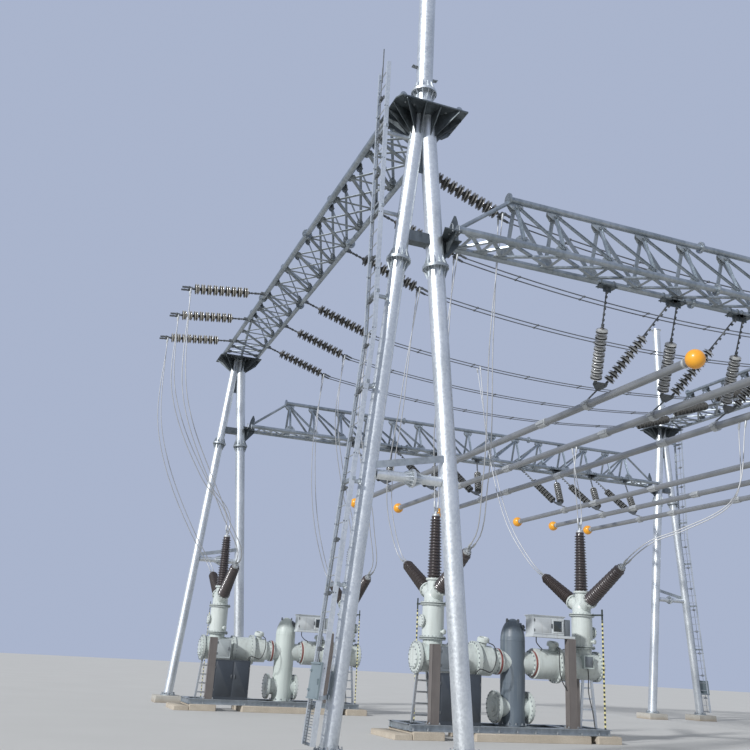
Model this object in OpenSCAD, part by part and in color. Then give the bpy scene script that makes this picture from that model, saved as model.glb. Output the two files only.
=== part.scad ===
/* [Bay layout] */
// distance between the left and right A frames
bay_length = 19800; // [17000:100:21000]
// distance between the front and rear A frames
bay_width = 17500; // [17000:100:18500]

/* [A frames] */
// height of the head plate's upper face
head_top = 12450; // [12000:50:13000]
// half of the distance between the two leg feet
foot_offset = 1237; // [1100:10:1400]
// half of the distance between the leg axes at the head
top_offset = 88; // [80:2:110]
// diameter of the thinner leg
thin_leg_d = 300; // [280:5:320]
// diameter of the thicker leg
thick_leg_d = 350; // [330:5:370]
// height of the leg flange joint
joint_height = 9080; // [8800:20:9200]
// height of the cross tie's axis
tie_height = 4830; // [4500:10:5200]
// diameter of the cross tie
tie_d = 180; // [160:5:200]
// height of the peak mast above the head plate
peak_height = 4900; // [4000:100:6000]
// diameter of the peak mast
peak_d = 350; // [330:5:360]

/* [Pedestals and base plates] */
// side of a concrete pedestal
pedestal_side = 900; // [850:10:1000]
// height of a concrete pedestal
pedestal_height = 220; // [150:10:300]
// thickness of a leg's base plate
base_plate_t = 30; // [24:2:40]

/* [Lattice beams] */
// diameter of every beam chord
chord_d = 140; // [130:2:146]
// half of the distance between the line beam's bottom chords
line_half = 620; // [580:10:660]
// height of the line beam's top chord above its bottom chords
line_rise = 1200; // [1150:10:1250]
// half of the distance between the bus beam's bottom chords
bus_half = 410; // [390:5:440]
// height of the bus beam's top chord above its bottom chords
bus_rise = 1210; // [1150:10:1250]
// height of the bus beam's bottom chord axes
bus_level = 9810; // [9700:10:9900]
// width of a bracing bar
bar_w = 60; // [50:2:70]
// thickness of a bracing bar
bar_t = 38; // [30:2:40]
// number of panels in the line beam
line_panels = 12; // [10:2:14]
// number of panels in the bus beam
bus_panels = 14; // [12:2:16]

/* [Insulator strings] */
// diameter of a line insulator disc
line_disc_d = 340; // [320:5:360]
// spacing of the line insulator discs
line_disc_pitch = 190; // [180:2:200]
// discs in a line string
line_discs = 9; // [8:1:9]
// spacing of the phases along the line beam
phase_pitch = 2400; // [2300:50:2450]
// diameter of a bus insulator disc
bus_disc_d = 280; // [250:5:290]
// spacing of the bus insulator discs
bus_disc_pitch = 146; // [140:1:150]
// discs in one arm of a bus string
bus_discs = 9; // [7:1:9]

/* [Bus tubes] */
// diameter of a bus tube
tube_d = 180; // [160:5:190]
// height of the bus tube axes
tube_level = 7680; // [7600:10:7750]
// spacing of the bus tubes in the near set
near_pitch = 1880; // [1840:10:1920]
// distance from the left frames to the near set's first tube
near_first = 5540; // [5400:10:5600]
// spacing of the bus tubes in the far set
far_pitch = 1770; // [1740:10:1800]
// distance from the left frames to the far set's first tube
far_first = 12980; // [12900:10:13100]
// distance from the frame line to the balls on the tube ends
tube_reach = 1250; // [1150:10:1300]
// diameter of the ball on a tube's end
ball_d = 400; // [360:5:420]

/* [Switchgear modules] */
// distance between a module's two risers
riser_pitch = 4300; // [4200:10:4400]
// height of the gas tank's axis
tank_level = 1810; // [1780:10:1840]
// diameter of the tee bodies below the risers
tank_d = 680; // [640:10:700]
// diameter of the transformer housings
housing_d = 740; // [720:10:760]
// diameter of a riser
riser_d = 540; // [500:10:560]
// length of a bushing's ribbed body
bushing_len = 1560; // [1500:10:1600]
// lean of the two outer bushings
bushing_lean = 62; // [58:1:64]
// height where the three bushing axes meet
pivot_level = 3240; // [3220:10:3300]
// diameter of the vertical breaker tank
breaker_d = 620; // [600:10:640]

/* [Hidden] */
$fn = 48;
gap = 0.3;
half_x = bay_length / 2;
half_y = bay_width / 2;
leg_foot_z = pedestal_height + base_plate_t;
plate_t = 30;
plate_under = head_top - plate_t;
lean = atan((foot_offset - top_offset) / plate_under);
leg_len = (plate_under - leg_foot_z) / cos(lean) + 400;
line_level = head_top + chord_d / 2 + gap;
chord_r = chord_d / 2;
line_chord_len = bay_width + 900;
line_floor_end = half_y - 670;
line_top_len = bay_width - 3800;
line_pitch = line_top_len / line_panels;
bus_chord_len = bay_length - 1300;
bus_floor_end = half_x - 1050;
bus_top_len = bay_length - 4000;
bus_pitch = bus_top_len / bus_panels;
line_slope = sqrt(line_half * line_half + line_rise * line_rise);
bus_slope = sqrt(bus_half * bus_half + bus_rise * bus_rise);
phase_edge = 1900;
phase_ys = [for (i = [0:2]) half_y - phase_edge - i * phase_pitch];
strain_link = 400;
inner_fall = 18;
outer_fall = 7;
ball_cut = sqrt(ball_d * ball_d - tube_d * tube_d) / 2;
tube_len = 2 * (half_y + tube_reach - ball_cut);
tube_xs = concat([for (i = [0:2]) -half_x + near_first + i * near_pitch],
  [for (i = [0:2]) -half_x + far_first + i * far_pitch]);
v_top_half = 835;
v_top_z = bus_level - chord_r - gap;
v_yoke_y = 1540;
v_yoke_z = tube_level + 360;
v_clamp_y = 2040;
v_arm_x = v_top_half - 130;
module_a = [-half_x + 3300, -half_y + 6000, 0];
module_b = [-half_x - 400, -half_y + 14200, 0];
plinth_h = 180;
frame_h = 150;
bed = plinth_h + frame_h;
breaker_x = riser_pitch / 2 + 80;
riser_foot = 2240;
riser_top = 3050;
bushing_start = 460;
shed_count = 20;

steel = [0.72, 0.75, 0.77];
dark_steel = [0.5, 0.53, 0.55];

// the whole gantry is the same after half a turn about the bay's middle
module twice() {
  for (turn = [0, 180])
    rotate([0, 0, turn])
      children();
}

// side is -1 for the thin leg and 1 for the thick leg
function leg_d(side) = side < 0 ? thin_leg_d : thick_leg_d;
function leg_x(side, z) = side * (foot_offset - (foot_offset - top_offset) * z / plate_under);

// place children on a leg's axis at height z, leaning with the leg
module on_leg(side, z) {
  translate([leg_x(side, z), 0, z])
    rotate([0, -side * lean, 0])
      children();
}

module leg_solid(side, extra) {
  on_leg(side, 0)
    translate([0, 0, -200])
      cylinder(d = leg_d(side) + extra, h = leg_len + 600);
}

// one leg, cut flat at its foot, at the head plate and against the other leg
module leg(side) {
  intersection() {
    leg_solid(side, 0);
    translate([side < 0 ? -2000 : -12 + gap, -400, leg_foot_z])
      cube([1988, 800, plate_under - leg_foot_z]);
  }
}

module leg_pair() {
  color(steel) leg(-1);
  color(steel) leg(1);
}

module front_left_legs() {
  translate([-half_x, -half_y, 0])
    leg_pair();
}

module rear_left_legs() {
  translate([-half_x, half_y, 0])
    leg_pair();
}

module front_right_legs() {
  rotate([0, 0, 180])
    rear_left_legs();
}

module rear_right_legs() {
  rotate([0, 0, 180])
    front_left_legs();
}

// place children at both left frames, and by the half turn at the right ones
module each_frame() {
  twice()
    for (y = [-half_y, half_y])
      translate([-half_x, y, 0])
        children();
}

module leg_pedestals() {
  color([0.68, 0.66, 0.6])
    each_frame()
      for (side = [-1, 1])
        translate([side * foot_offset - pedestal_side / 2, -pedestal_side / 2, 0])
          cube([pedestal_side, pedestal_side, pedestal_height]);
}

// base flange with eight low ribs around the leg's foot
module base_plate(side) {
  d = leg_d(side);
  difference() {
    translate([leg_x(side, leg_foot_z), 0, 0]) {
      translate([0, 0, pedestal_height])
        cylinder(d = d + 200, h = base_plate_t);
      for (a = [0:45:315])
        rotate([0, 0, a])
          translate([0, 6, leg_foot_z])
            rotate([90, 0, 0])
              linear_extrude(height = 12)
                polygon([[d / 2 - 30, 0], [d / 2 + 85, 0], [d / 2 + 85, 12], [d / 2 + 8, 60], [d / 2 - 30, 60]]);
    }
    intersection() {
      leg_solid(side, 2 * gap);
      translate([-2500, -500, leg_foot_z])
        cube([5000, 1000, 900]);
    }
  }
}

module leg_base_plates() {
  color(steel)
    each_frame()
      for (side = [-1, 1])
        base_plate(side);
}

// pair of bolted flanges with twelve ribs above and below, bored for the tube
module collar(d, flange, rib_h, ribs) {
  difference() {
    union() {
      translate([0, 0, -28])
        cylinder(d = flange, h = 56);
      for (a = [0:360 / ribs:359])
        rotate([0, 0, a])
          translate([0, 5, 0])
            rotate([90, 0, 0])
              linear_extrude(height = 10)
                polygon([[d / 2 - 20, -rib_h], [d / 2 + 8, -rib_h], [flange / 2 - 12, -28],
                  [flange / 2 - 12, 28], [d / 2 + 8, rib_h], [d / 2 - 20, rib_h]]);
    }
    translate([0, 0, -rib_h - 10])
      cylinder(d = d + 2 * gap, h = 2 * rib_h + 20);
  }
}

module leg_joint_collars() {
  color(steel)
    each_frame()
      for (side = [-1, 1])
        on_leg(side, joint_height)
          collar(leg_d(side), leg_d(side) + 180, 220, 12);
}

// tube between the legs with a ribbed flange pair near its middle
module cross_tie() {
  x0 = leg_x(-1, tie_height) + thin_leg_d / 2 - 6;
  x1 = leg_x(1, tie_height) - thick_leg_d / 2 + 6;
  difference() {
    union() {
      translate([x0, 0, tie_height])
        rotate([0, 90, 0])
          cylinder(d = tie_d, h = x1 - x0);
      translate([60, 0, tie_height])
        rotate([0, 90, 0]) {
          translate([0, 0, -24])
            cylinder(d = 340, h = 48);
          for (a = [0:30:330])
            rotate([0, 0, a])
              translate([0, 4, 0])
                rotate([90, 0, 0])
                  linear_extrude(height = 8)
                    polygon([[tie_d / 2 - 20, -170], [tie_d / 2 + 6, -170], [160, -24],
                      [160, 24], [tie_d / 2 + 6, 170], [tie_d / 2 - 20, 170]]);
        }
    }
    leg_solid(-1, 2 * gap);
    leg_solid(1, 2 * gap);
  }
}

module leg_cross_ties() {
  color([0.66, 0.71, 0.7])
    each_frame()
      cross_tie();
}

// sloping strip that ties the legs beside the cross tie
module tie_braces() {
  za = tie_height + 70;
  zb = tie_height + 360;
  xa = leg_x(-1, za) + 60;
  xb = leg_x(1, zb) - 60;
  color([0.62, 0.68, 0.66])
    each_frame()
      difference() {
        translate([0, -115, 0])
          rotate([90, 0, 0])
            linear_extrude(height = 12)
              polygon([[xa, za], [xb, zb], [xb, zb + 130], [xa, za + 130]]);
        leg_solid(-1, 2 * gap);
        leg_solid(1, 2 * gap);
      }
}

// ribs fan out from both legs to within 20 mm of the head plate's rim
head_half = [770, 560];
head_rib_angles = [0, -22, -48, -82, 22, 48, 82];
head_gusset = 1300;
function head_rib_end(a) =
  min((head_half[0] - top_offset) / cos(a), head_half[1] / max(0.01, abs(sin(a)))) - 20;

// head plate with chamfered corners, radial ribs below and a gusset between the legs
module head_plate() {
  difference() {
    union() {
      translate([0, 0, plate_under])
        linear_extrude(height = plate_t)
          difference() {
            polygon([[-770, -400], [-690, -560], [770, -560], [770, 400], [690, 560], [-770, 560]]);
            for (s = [-1, 1])
              for (hole = [[-660, -500], [-590, -505], [715, -505]])
                translate(s * hole)
                  circle(d = 26, $fn = 16);
          }
      for (side = [-1, 1])
        translate([side * top_offset, 0, plate_under])
          for (a = head_rib_angles)
            rotate([0, 0, a + (side < 0 ? 180 : 0)])
              translate([0, 7, 0])
                rotate([90, 0, 0])
                  linear_extrude(height = 14)
                    polygon([[130, -480], [185, -480], [head_rib_end(a), -40],
                      [head_rib_end(a), 1], [130, 1]]);
      translate([-190, -10, plate_under - head_gusset])
        cube([380, 20, head_gusset + 1]);
    }
    difference() {
      leg_solid(-1, 2 * gap);
      translate([-12 + gap, -500, 0])
        cube([1000, 1000, 20000]);
      translate([-2000, -500, plate_under])
        cube([4000, 1000, 2000]);
    }
    difference() {
      leg_solid(1, 2 * gap);
      translate([-1012, -500, 0])
        cube([1000, 1000, 20000]);
      translate([-2000, -500, plate_under])
        cube([4000, 1000, 2000]);
    }
  }
}

module head_plates() {
  color(dark_steel)
    each_frame()
      head_plate();
}

// round peak with a ribbed flange near its foot and a cap plate
module peak_masts() {
  color(steel)
    twice()
      translate([-half_x, -half_y, head_top]) {
        cylinder(d = peak_d, h = peak_height);
        translate([0, 0, peak_height])
          cylinder(d = peak_d + 90, h = 25);
        translate([0, 0, 542])
          cylinder(d = peak_d + 190, h = 56);
        for (a = [0:30:330])
          rotate([0, 0, a])
            translate([0, 5, 570])
              rotate([90, 0, 0])
                linear_extrude(height = 10)
                  polygon([[peak_d / 2 - 20, -230], [peak_d / 2 + 8, -230], [peak_d / 2 + 83, -28],
                    [peak_d / 2 + 83, 28], [peak_d / 2 + 8, 230], [peak_d / 2 - 20, 230]]);
      }
}

// ladder_x gives the ladder's distance from the frame line: slanted below, upright above
ladder_bend = 7500;
ladder_top = head_top + 930;
ladder_out = 905;
ladder_half = 225;
stile_d = 50;
ladder_slant = atan(0.0917);
function ladder_x(z) = -ladder_out - (z > ladder_bend ? 0 : (ladder_bend - z) * tan(ladder_slant));

module ladder_bar(y, z0, z1, d) {
  x0 = ladder_x(z0);
  x1 = ladder_x(z1);
  len = sqrt((x1 - x0) * (x1 - x0) + (z1 - z0) * (z1 - z0));
  translate([x0, y, z0])
    rotate([0, atan2(x1 - x0, z1 - z0), 0])
      cylinder(d = d, h = len, $fn = 8);
}

module access_ladders() {
  color([0.7, 0.73, 0.75])
    twice()
      translate([-half_x, -half_y, 0]) {
        for (y = [-ladder_half, ladder_half]) {
          ladder_bar(y, 330, ladder_bend, stile_d);
          ladder_bar(y, ladder_bend + 3, ladder_top, stile_d);
        }
        for (z = [600:300:ladder_top - 100])
          translate([ladder_x(z), -ladder_half, z])
            rotate([-90, 0, 0])
              cylinder(d = 28, h = 2 * ladder_half, $fn = 6);
      }
}

saddle_half = 70;

// saddle on the leg, with an arm out to the ladder and a cross bar round its stiles
module ladder_bracket(z) {
  color(dark_steel)
    difference() {
      union() {
        on_leg(-1, z)
          intersection() {
            translate([0, 0, -35])
              cylinder(d = thin_leg_d + 36, h = 70);
            translate([-thin_leg_d, -saddle_half, -35])
              cube([thin_leg_d, 2 * saddle_half, 70]);
          }
        translate([ladder_x(z) + 10, -30, z - 30])
          cube([leg_x(-1, z) - ladder_x(z) - 10, 60, 60]);
        translate([ladder_x(z) - 4, -ladder_half - 40, z - 30])
          cube([64, 2 * ladder_half + 80, 60]);
      }
      leg_solid(-1, 2 * gap);
      leg_solid(1, 2 * gap);
      for (y = [-ladder_half, ladder_half])
        ladder_bar(y, z - 100, z + 100, stile_d + 2 * gap);
    }
}

module ladder_brackets() {
  twice()
    translate([-half_x, -half_y, 0])
      for (z = [1050, 2850, 4650, 6450, 8250, 10050, 11850])
        ladder_bracket(z);
}

door_z = 1020;
door_h = 570;

// guard door that closes the foot of the ladder
module ladder_doors() {
  color([0.6, 0.62, 0.63])
    twice()
      translate([-half_x + ladder_x(door_z), -half_y, door_z])
        rotate([0, ladder_slant, 0])
          translate([-stile_d / 2 - gap - 30, -ladder_half - 45, 0])
            cube([30, 2 * ladder_half + 90, door_h]);
}

// upright fin on a seat, which the slotted end of the sloping strut rides over
seat_top = bus_level - chord_r - gap;
module seat_fin(thick) {
  translate([0, thick / 2, seat_top])
    rotate([90, 0, 0])
      linear_extrude(height = thick)
        polygon([[660, -1], [880, -1], [880, 60], [855, 460],
          [810, 590], [770, 590], [690, 380], [660, 200]]);
}

// seat for a bus beam: a box between the legs, and outside them a T plate on a cross rib and a gusset,
// with a fin above
module beam_seat() {
  thin_x = leg_x(-1, seat_top);
  thick_x = leg_x(1, seat_top);
  difference() {
    union() {
      translate([thin_x, -110, seat_top - 220])
        cube([thick_x - thin_x, 220, 220]);
      translate([0, 0, seat_top - 24])
        linear_extrude(height = 24)
          polygon([[thick_x, -510], [720, -510], [720, -120], [900, -120], [900, 120], [720, 120],
            [720, 510], [thick_x, 510], [thick_x + 120, 130], [thick_x + 120, -130]]);
      translate([580, 0, seat_top - 24])
        rotate([90, 0, 90])
          linear_extrude(height = 16)
            polygon([[-490, 1], [490, 1], [490, -50], [120, -300], [-120, -300], [-490, -50]]);
      translate([0, 8, seat_top - 24])
        rotate([90, 0, 0])
          linear_extrude(height = 16)
            polygon([[thick_x, 1], [880, 1], [880, -60], [560, -440], [thick_x, -440]]);
      seat_fin(16);
    }
    leg_solid(-1, 2 * gap);
    leg_solid(1, 2 * gap);
  }
}

module beam_seats() {
  color(dark_steel)
    for (y = [-half_y, half_y]) {
      translate([-half_x, y, 0])
        beam_seat();
      translate([half_x, y, 0])
        rotate([0, 0, 180])
          beam_seat();
    }
}

// a round chord along x with flanged joints at the given places
module chord(len, joints) {
  translate([-len / 2, 0, 0])
    rotate([0, 90, 0])
      cylinder(d = chord_d, h = len, $fn = 24);
  for (j = joints)
    translate([j - 20, 0, 0])
      rotate([0, 90, 0])
        cylinder(d = chord_d + 130, h = 40, $fn = 24);
}

// three chords of a beam along x: two below, one above
module beam_chords(half, rise, len, top_len, joint) {
  color(steel) {
    for (s = [-1, 1])
      translate([0, s * half, 0])
        chord(len, [-joint, joint]);
    translate([0, 0, rise])
      chord(top_len, [-top_len / 2 + 20, -joint, joint, top_len / 2 - 20]);
  }
}

// flat bar between two points of a lattice side
module bar(p, q) {
  translate(p)
    rotate(atan2(q[1] - p[1], q[0] - p[0]))
      translate([0, -bar_w / 2])
        square([norm(q - p), bar_w]);
}

// node plate beside a chord: v0 and v1 are its near and far edges
module node_plate(u, v0, v1) {
  translate([u - 120, min(v0, v1)])
    square([240, abs(v1 - v0)]);
}

// place of a node along a side: the last ones stand back from the end flanges
function node_u(i, n, pitch) = i * pitch - (abs(i) == n / 2 ? sign(i) * 180 : 0);

// one inclined side of a beam, drawn flat: uprights at each node and diagonals between them
module side_pattern(n, pitch, slope) {
  top = slope - 150;
  for (i = [-n / 2:n / 2]) {
    u = node_u(i, n, pitch);
    bar([u, 130], [u, top]);
    node_plate(u, chord_r + gap, 200);
    node_plate(u, slope - chord_r - gap, slope - 210);
  }
  for (i = [0:n / 2 - 1])
    for (s = [-1, 1])
      bar([s * node_u(i + 1, n, pitch), top], [s * node_u(i, n, pitch), 150]);
}

// the floor of a beam, drawn flat: cross struts and crossing diagonals
module floor_pattern(n, pitch, half, last) {
  edge = half - chord_r - gap;
  first = n * pitch / 2;
  mid = (first + last) / 2;
  stations = concat([-last, -mid], [for (i = [-n / 2:n / 2]) i * pitch], [mid, last]);
  for (u = stations) {
    bar([u, -edge + 20], [u, edge - 20]);
    node_plate(u, edge, edge - 110);
    node_plate(u, -edge, -edge + 110);
  }
  for (i = [0:len(stations) - 2])
    for (s = [-1, 1])
      bar([stations[i], -s * (edge - 60)], [stations[i + 1], s * (edge - 60)]);
}

module beam_side(n, pitch, half, rise, slope, s) {
  translate([0, s * half, 0])
    rotate([s > 0 ? 180 - atan2(rise, half) : atan2(rise, half), 0, 0])
      translate([0, 0, -bar_t / 2])
        linear_extrude(height = bar_t)
          side_pattern(n, pitch, slope);
}

module beam_floor(n, pitch, half, last) {
  translate([0, 0, -bar_t / 2])
    linear_extrude(height = bar_t)
      floor_pattern(n, pitch, half, last);
}

// the left line beam runs along y; the right one is the same after half a turn
module place_left() {
  translate([-half_x, 0, line_level])
    rotate([0, 0, 90])
      children();
}

module left_beam_chords() {
  place_left()
    beam_chords(line_half, line_rise, line_chord_len, line_top_len, 2450);
}

module left_beam_outer_side() {
  color(steel)
    place_left()
      beam_side(line_panels, line_pitch, line_half, line_rise, line_slope, 1);
}

module left_beam_inner_side() {
  color(steel)
    place_left()
      beam_side(line_panels, line_pitch, line_half, line_rise, line_slope, -1);
}

module left_beam_floor() {
  color(dark_steel)
    place_left()
      beam_floor(line_panels, line_pitch, line_half, line_floor_end);
}

module right_beam_chords() {
  rotate([0, 0, 180])
    left_beam_chords();
}

module right_beam_outer_side() {
  rotate([0, 0, 180])
    left_beam_outer_side();
}

module right_beam_inner_side() {
  rotate([0, 0, 180])
    left_beam_inner_side();
}

module right_beam_floor() {
  rotate([0, 0, 180])
    left_beam_floor();
}

module place_front() {
  translate([0, -half_y, bus_level])
    children();
}

module front_beam_chords() {
  place_front()
    beam_chords(bus_half, bus_rise, bus_chord_len, bus_top_len, 2900);
}

module front_beam_outer_side() {
  color(steel)
    place_front()
      beam_side(bus_panels, bus_pitch, bus_half, bus_rise, bus_slope, -1);
}

module front_beam_inner_side() {
  color(steel)
    place_front()
      beam_side(bus_panels, bus_pitch, bus_half, bus_rise, bus_slope, 1);
}

module front_beam_floor() {
  color(dark_steel)
    place_front()
      beam_floor(bus_panels, bus_pitch, bus_half, bus_floor_end);
}

module rear_beam_chords() {
  rotate([0, 0, 180])
    front_beam_chords();
}

module rear_beam_outer_side() {
  rotate([0, 0, 180])
    front_beam_outer_side();
}

module rear_beam_inner_side() {
  rotate([0, 0, 180])
    front_beam_inner_side();
}

module rear_beam_floor() {
  rotate([0, 0, 180])
    front_beam_floor();
}

// round strut in the x z plane between two points
module strut(p, q, d) {
  translate([p[0], 0, p[1]])
    rotate([0, atan2(q[0] - p[0], q[1] - p[1]), 0])
      cylinder(d = d, h = norm(q - p), $fn = 12);
}

// sloping strut from a top chord's end flange, cut flat there, down to its foot
module end_strut(top_len, rise, foot) {
  x0 = top_len / 2 + gap;
  start = [x0 - 60, rise - 50];
  intersection() {
    strut(start, start + (foot - start) * 1.2, 90);
    translate([x0, -200, foot[1]])
      cube([4000, 400, 2000]);
  }
}

foot_t = 20;

// struts at the ends of the bus beams, slotted over the seat fins, and of the line beams
module beam_end_struts() {
  color(steel)
    twice()
      for (m = [0, 1]) {
        mirror([m, 0, 0])
          difference() {
            translate([0, -half_y, bus_level])
              end_strut(bus_top_len, bus_rise, [half_x - 830, 210]);
            translate([half_x, -half_y, 0])
              rotate([0, 0, 180])
                seat_fin(16 + 2 * gap);
          }
        place_left()
          mirror([m, 0, 0]) {
            end_strut(line_top_len, line_rise, [half_y - 460, foot_t - chord_r - gap]);
            translate([half_y - 540, -90, -chord_r - gap])
              cube([200, 180, foot_t + 1]);
          }
      }
}

// outline of a chain of insulator discs, from the cap at 0 down to the pin
function disc_points(i, d, p) = [
  [32, i * p], [45, i * p + 4], [45, i * p + 0.34 * p], [d * 0.36, i * p + 0.5 * p],
  [d / 2, i * p + 0.72 * p], [d / 2 - 8, i * p + 0.8 * p], [d * 0.2, i * p + 0.66 * p],
  [22, i * p + 0.78 * p]
];
function flat_list(v) = [for (a = v) for (b = a) b];

module disc_chain(count, d, p) {
  rotate_extrude($fn = 32)
    polygon(concat([[0, 0]], flat_list([for (i = [0:count - 1]) disc_points(i, d, p)]),
      [[22, count * p], [0, count * p]]));
}

// places a string on the line beam's inner side (s 1) or outer side (s -1)
string_out = line_half + chord_r + 50;
string_drop = 40;
module at_string(s, y) {
  translate([-half_x + s * string_out, y, line_level - string_drop])
    rotate([0, s * (90 + (s > 0 ? inner_fall : outer_fall)), 0])
      children();
}

inner_ys = concat(phase_ys, [for (y = phase_ys) -y]);

// every line string of both beams: six inner ones and three outer ones on each
module each_line_string() {
  twice() {
    for (y = inner_ys)
      at_string(1, y)
        children();
    for (y = phase_ys)
      at_string(-1, y)
        children();
  }
}

module line_insulators() {
  color([0.66, 0.62, 0.58])
    each_line_string()
      translate([0, 0, strain_link])
        disc_chain(line_discs, line_disc_d, line_disc_pitch);
}

// lug plate welded to the beam's chord, which the string's link hangs from
module string_lug(s, y) {
  difference() {
    translate([-half_x + s * (line_half + string_out) / 2, y, line_level - string_drop / 2 - 5])
      cube([string_out - line_half + 80, 24, 110], center = true);
    translate([-half_x + s * line_half, 0, line_level])
      rotate([90, 0, 0])
        cylinder(d = chord_d + 2 * gap, h = bay_width, center = true);
    translate([-half_x - s * (half_x / 2 - line_half), y, line_level])
      cube([half_x, 200, 300], center = true);
  }
}

string_len = strain_link + line_discs * line_disc_pitch;
fork_start = 90;
fork_len = 90;
fork_t = 28;
pair_half = 110;
barrel_start = 160;
barrel_end = 400;

// link at the beam end, then the clamp fork for two wires at the live end
module string_link() {
  translate([0, 0, -6])
    cylinder(d = 44, h = strain_link + 6, $fn = 12);
  translate([0, 0, string_len])
    cylinder(d = 50, h = 110, $fn = 12);
  translate([-fork_t / 2, -pair_half - 20, string_len + fork_start])
    cube([fork_t, 2 * pair_half + 40, fork_len]);
  for (y = [-pair_half, pair_half])
    translate([0, y, string_len + barrel_start])
      cylinder(d = 60, h = barrel_end - barrel_start, $fn = 12);
}

module line_string_links() {
  color([0.45, 0.47, 0.49]) {
    each_line_string()
      string_link();
    twice() {
      for (y = inner_ys)
        string_lug(1, y);
      for (y = phase_ys)
        string_lug(-1, y);
    }
  }
}

// the sloping strings hang in pairs: at both beams, over each of the six tubes
module each_bus_string() {
  for (m = [0, 1])
    mirror([0, m, 0])
      for (x = tube_xs)
        translate([x, -half_y + bus_half, 0])
          children();
}

hanger_drop = 60;
arm_drop = v_top_z - hanger_drop - v_yoke_z;
arm_len = sqrt(v_arm_x * v_arm_x + v_yoke_y * v_yoke_y + arm_drop * arm_drop);
arm_rod = arm_len - bus_discs * bus_disc_pitch - 130;
yoke_slope = atan2(arm_drop, v_yoke_y);

// along one arm, from the beam down to the yoke plate
module on_arm(s) {
  translate([s * v_top_half, 0, v_top_z - hanger_drop])
    rotate([0, 0, atan2(v_yoke_y, -s * v_arm_x)])
      rotate([0, 90 + asin(arm_drop / arm_len), 0])
        children();
}

module bus_insulators() {
  color([0.56, 0.55, 0.54])
    each_bus_string()
      for (s = [-1, 1])
        on_arm(s)
          translate([0, 0, arm_rod])
            disc_chain(bus_discs, bus_disc_d, bus_disc_pitch);
}

// hanger plates, link rods, the yoke plate and the short link down to the tube clamp
module bus_string_links() {
  drop = v_yoke_z - 95 - tube_level - tube_d / 2 - 40;
  run = v_clamp_y - v_yoke_y - 95;
  color([0.35, 0.37, 0.38])
    each_bus_string() {
      for (s = [-1, 1]) {
        translate([s * v_top_half - 40, -10, v_top_z - hanger_drop - 30])
          cube([80, 20, hanger_drop + 30]);
        on_arm(s) {
          cylinder(d = 34, h = arm_rod, $fn = 12);
          translate([0, 0, arm_rod + bus_discs * bus_disc_pitch])
            cylinder(d = 40, h = 140, $fn = 12);
        }
      }
      translate([0, v_yoke_y, v_yoke_z])
        rotate([-yoke_slope, 0, 0])
          translate([0, 0, -10])
            linear_extrude(height = 20)
              polygon([[-190, -50], [190, -50], [190, 30], [50, 160], [-50, 160], [-190, 30]]);
      translate([0, v_yoke_y + 95, v_yoke_z - 95])
        rotate([-90 - atan2(drop, run), 0, 0])
          cylinder(d = 40, h = norm([drop, run]), $fn = 12);
    }
}

module each_tube() {
  for (x = tube_xs)
    translate([x, 0, tube_level])
      children();
}

module bus_tubes() {
  color([0.62, 0.64, 0.66])
    each_tube()
      rotate([90, 0, 0])
        cylinder(d = tube_d, h = tube_len, center = true);
}

// ball on each tube end, cut flat where it meets the tube
module bus_end_balls() {
  color([0.95, 0.6, 0.05])
    each_tube()
      for (m = [0, 1])
        mirror([0, m, 0])
          translate([0, half_y + tube_reach, 0])
            intersection() {
              sphere(d = ball_d);
              translate([-ball_d, -ball_cut, -ball_d])
                cube([2 * ball_d, ball_cut + ball_d, 2 * ball_d]);
            }
}

// split collar round the tube with a lug above for the string's link
module bus_tube_clamps() {
  color([0.5, 0.52, 0.54])
    for (x = tube_xs)
      for (m = [0, 1])
        mirror([0, m, 0])
          translate([x, -half_y + bus_half + v_clamp_y, tube_level])
            difference() {
              union() {
                rotate([90, 0, 0])
                  cylinder(d = tube_d + 70, h = 150, center = true);
                translate([-12, -60, 0])
                  cube([24, 120, tube_d / 2 + 39]);
                for (s = [-1, 1])
                  translate([s * (tube_d / 2 + 45) - 30, -75, -25])
                    cube([60, 150, 50]);
              }
              rotate([90, 0, 0])
                cylinder(d = tube_d + 2 * gap, h = 400, center = true);
            }
}

// both switchgear modules stand between the left and middle of the bay
module each_module() {
  for (place = [module_a, module_b])
    translate(place)
      children();
}

riser_xs = [0, riser_pitch];
frame_left = -800;
frame_right = riser_pitch + 350;
frame_half = 700;

module block(x0, x1, h) {
  translate([x0, -frame_half - 60, 0])
    cube([x1 - x0, 2 * frame_half + 120, h]);
}

// concrete blocks below the base frame, with a low step at the left end
module module_plinths() {
  color([0.66, 0.6, 0.52])
    each_module() {
      block(frame_left + 40, 50, plinth_h);
      block(frame_left - 420, frame_left + 41, 130);
      block(840, riser_pitch - 290, plinth_h);
      block(riser_pitch - 100, frame_right + 250, plinth_h);
    }
}

post_y = 600;
post_side = 210;
post_a = -200;
post_b = riser_pitch - 760;
shelf_z = 2440;
prop_xs = [900, riser_pitch - 260];

// welded frame of channels: two long sides, end pieces and cross members under each foot
module module_base_frames() {
  color([0.42, 0.43, 0.43])
    each_module()
      translate([0, 0, plinth_h]) {
        for (y = [-frame_half, frame_half - 200])
          translate([frame_left, y, 0])
            cube([frame_right - frame_left, 200, frame_h]);
        for (x = [frame_left, post_a - 110, prop_xs[0] - 90, breaker_x - 250, breaker_x + 150,
            post_b - 110, prop_xs[1] - 90, frame_right - 120])
          translate([x, -frame_half + 1, 0])
            cube([x == frame_left || x == frame_right - 120 ? 120 : 200, 2 * frame_half - 2, frame_h]);
      }
}

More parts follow.
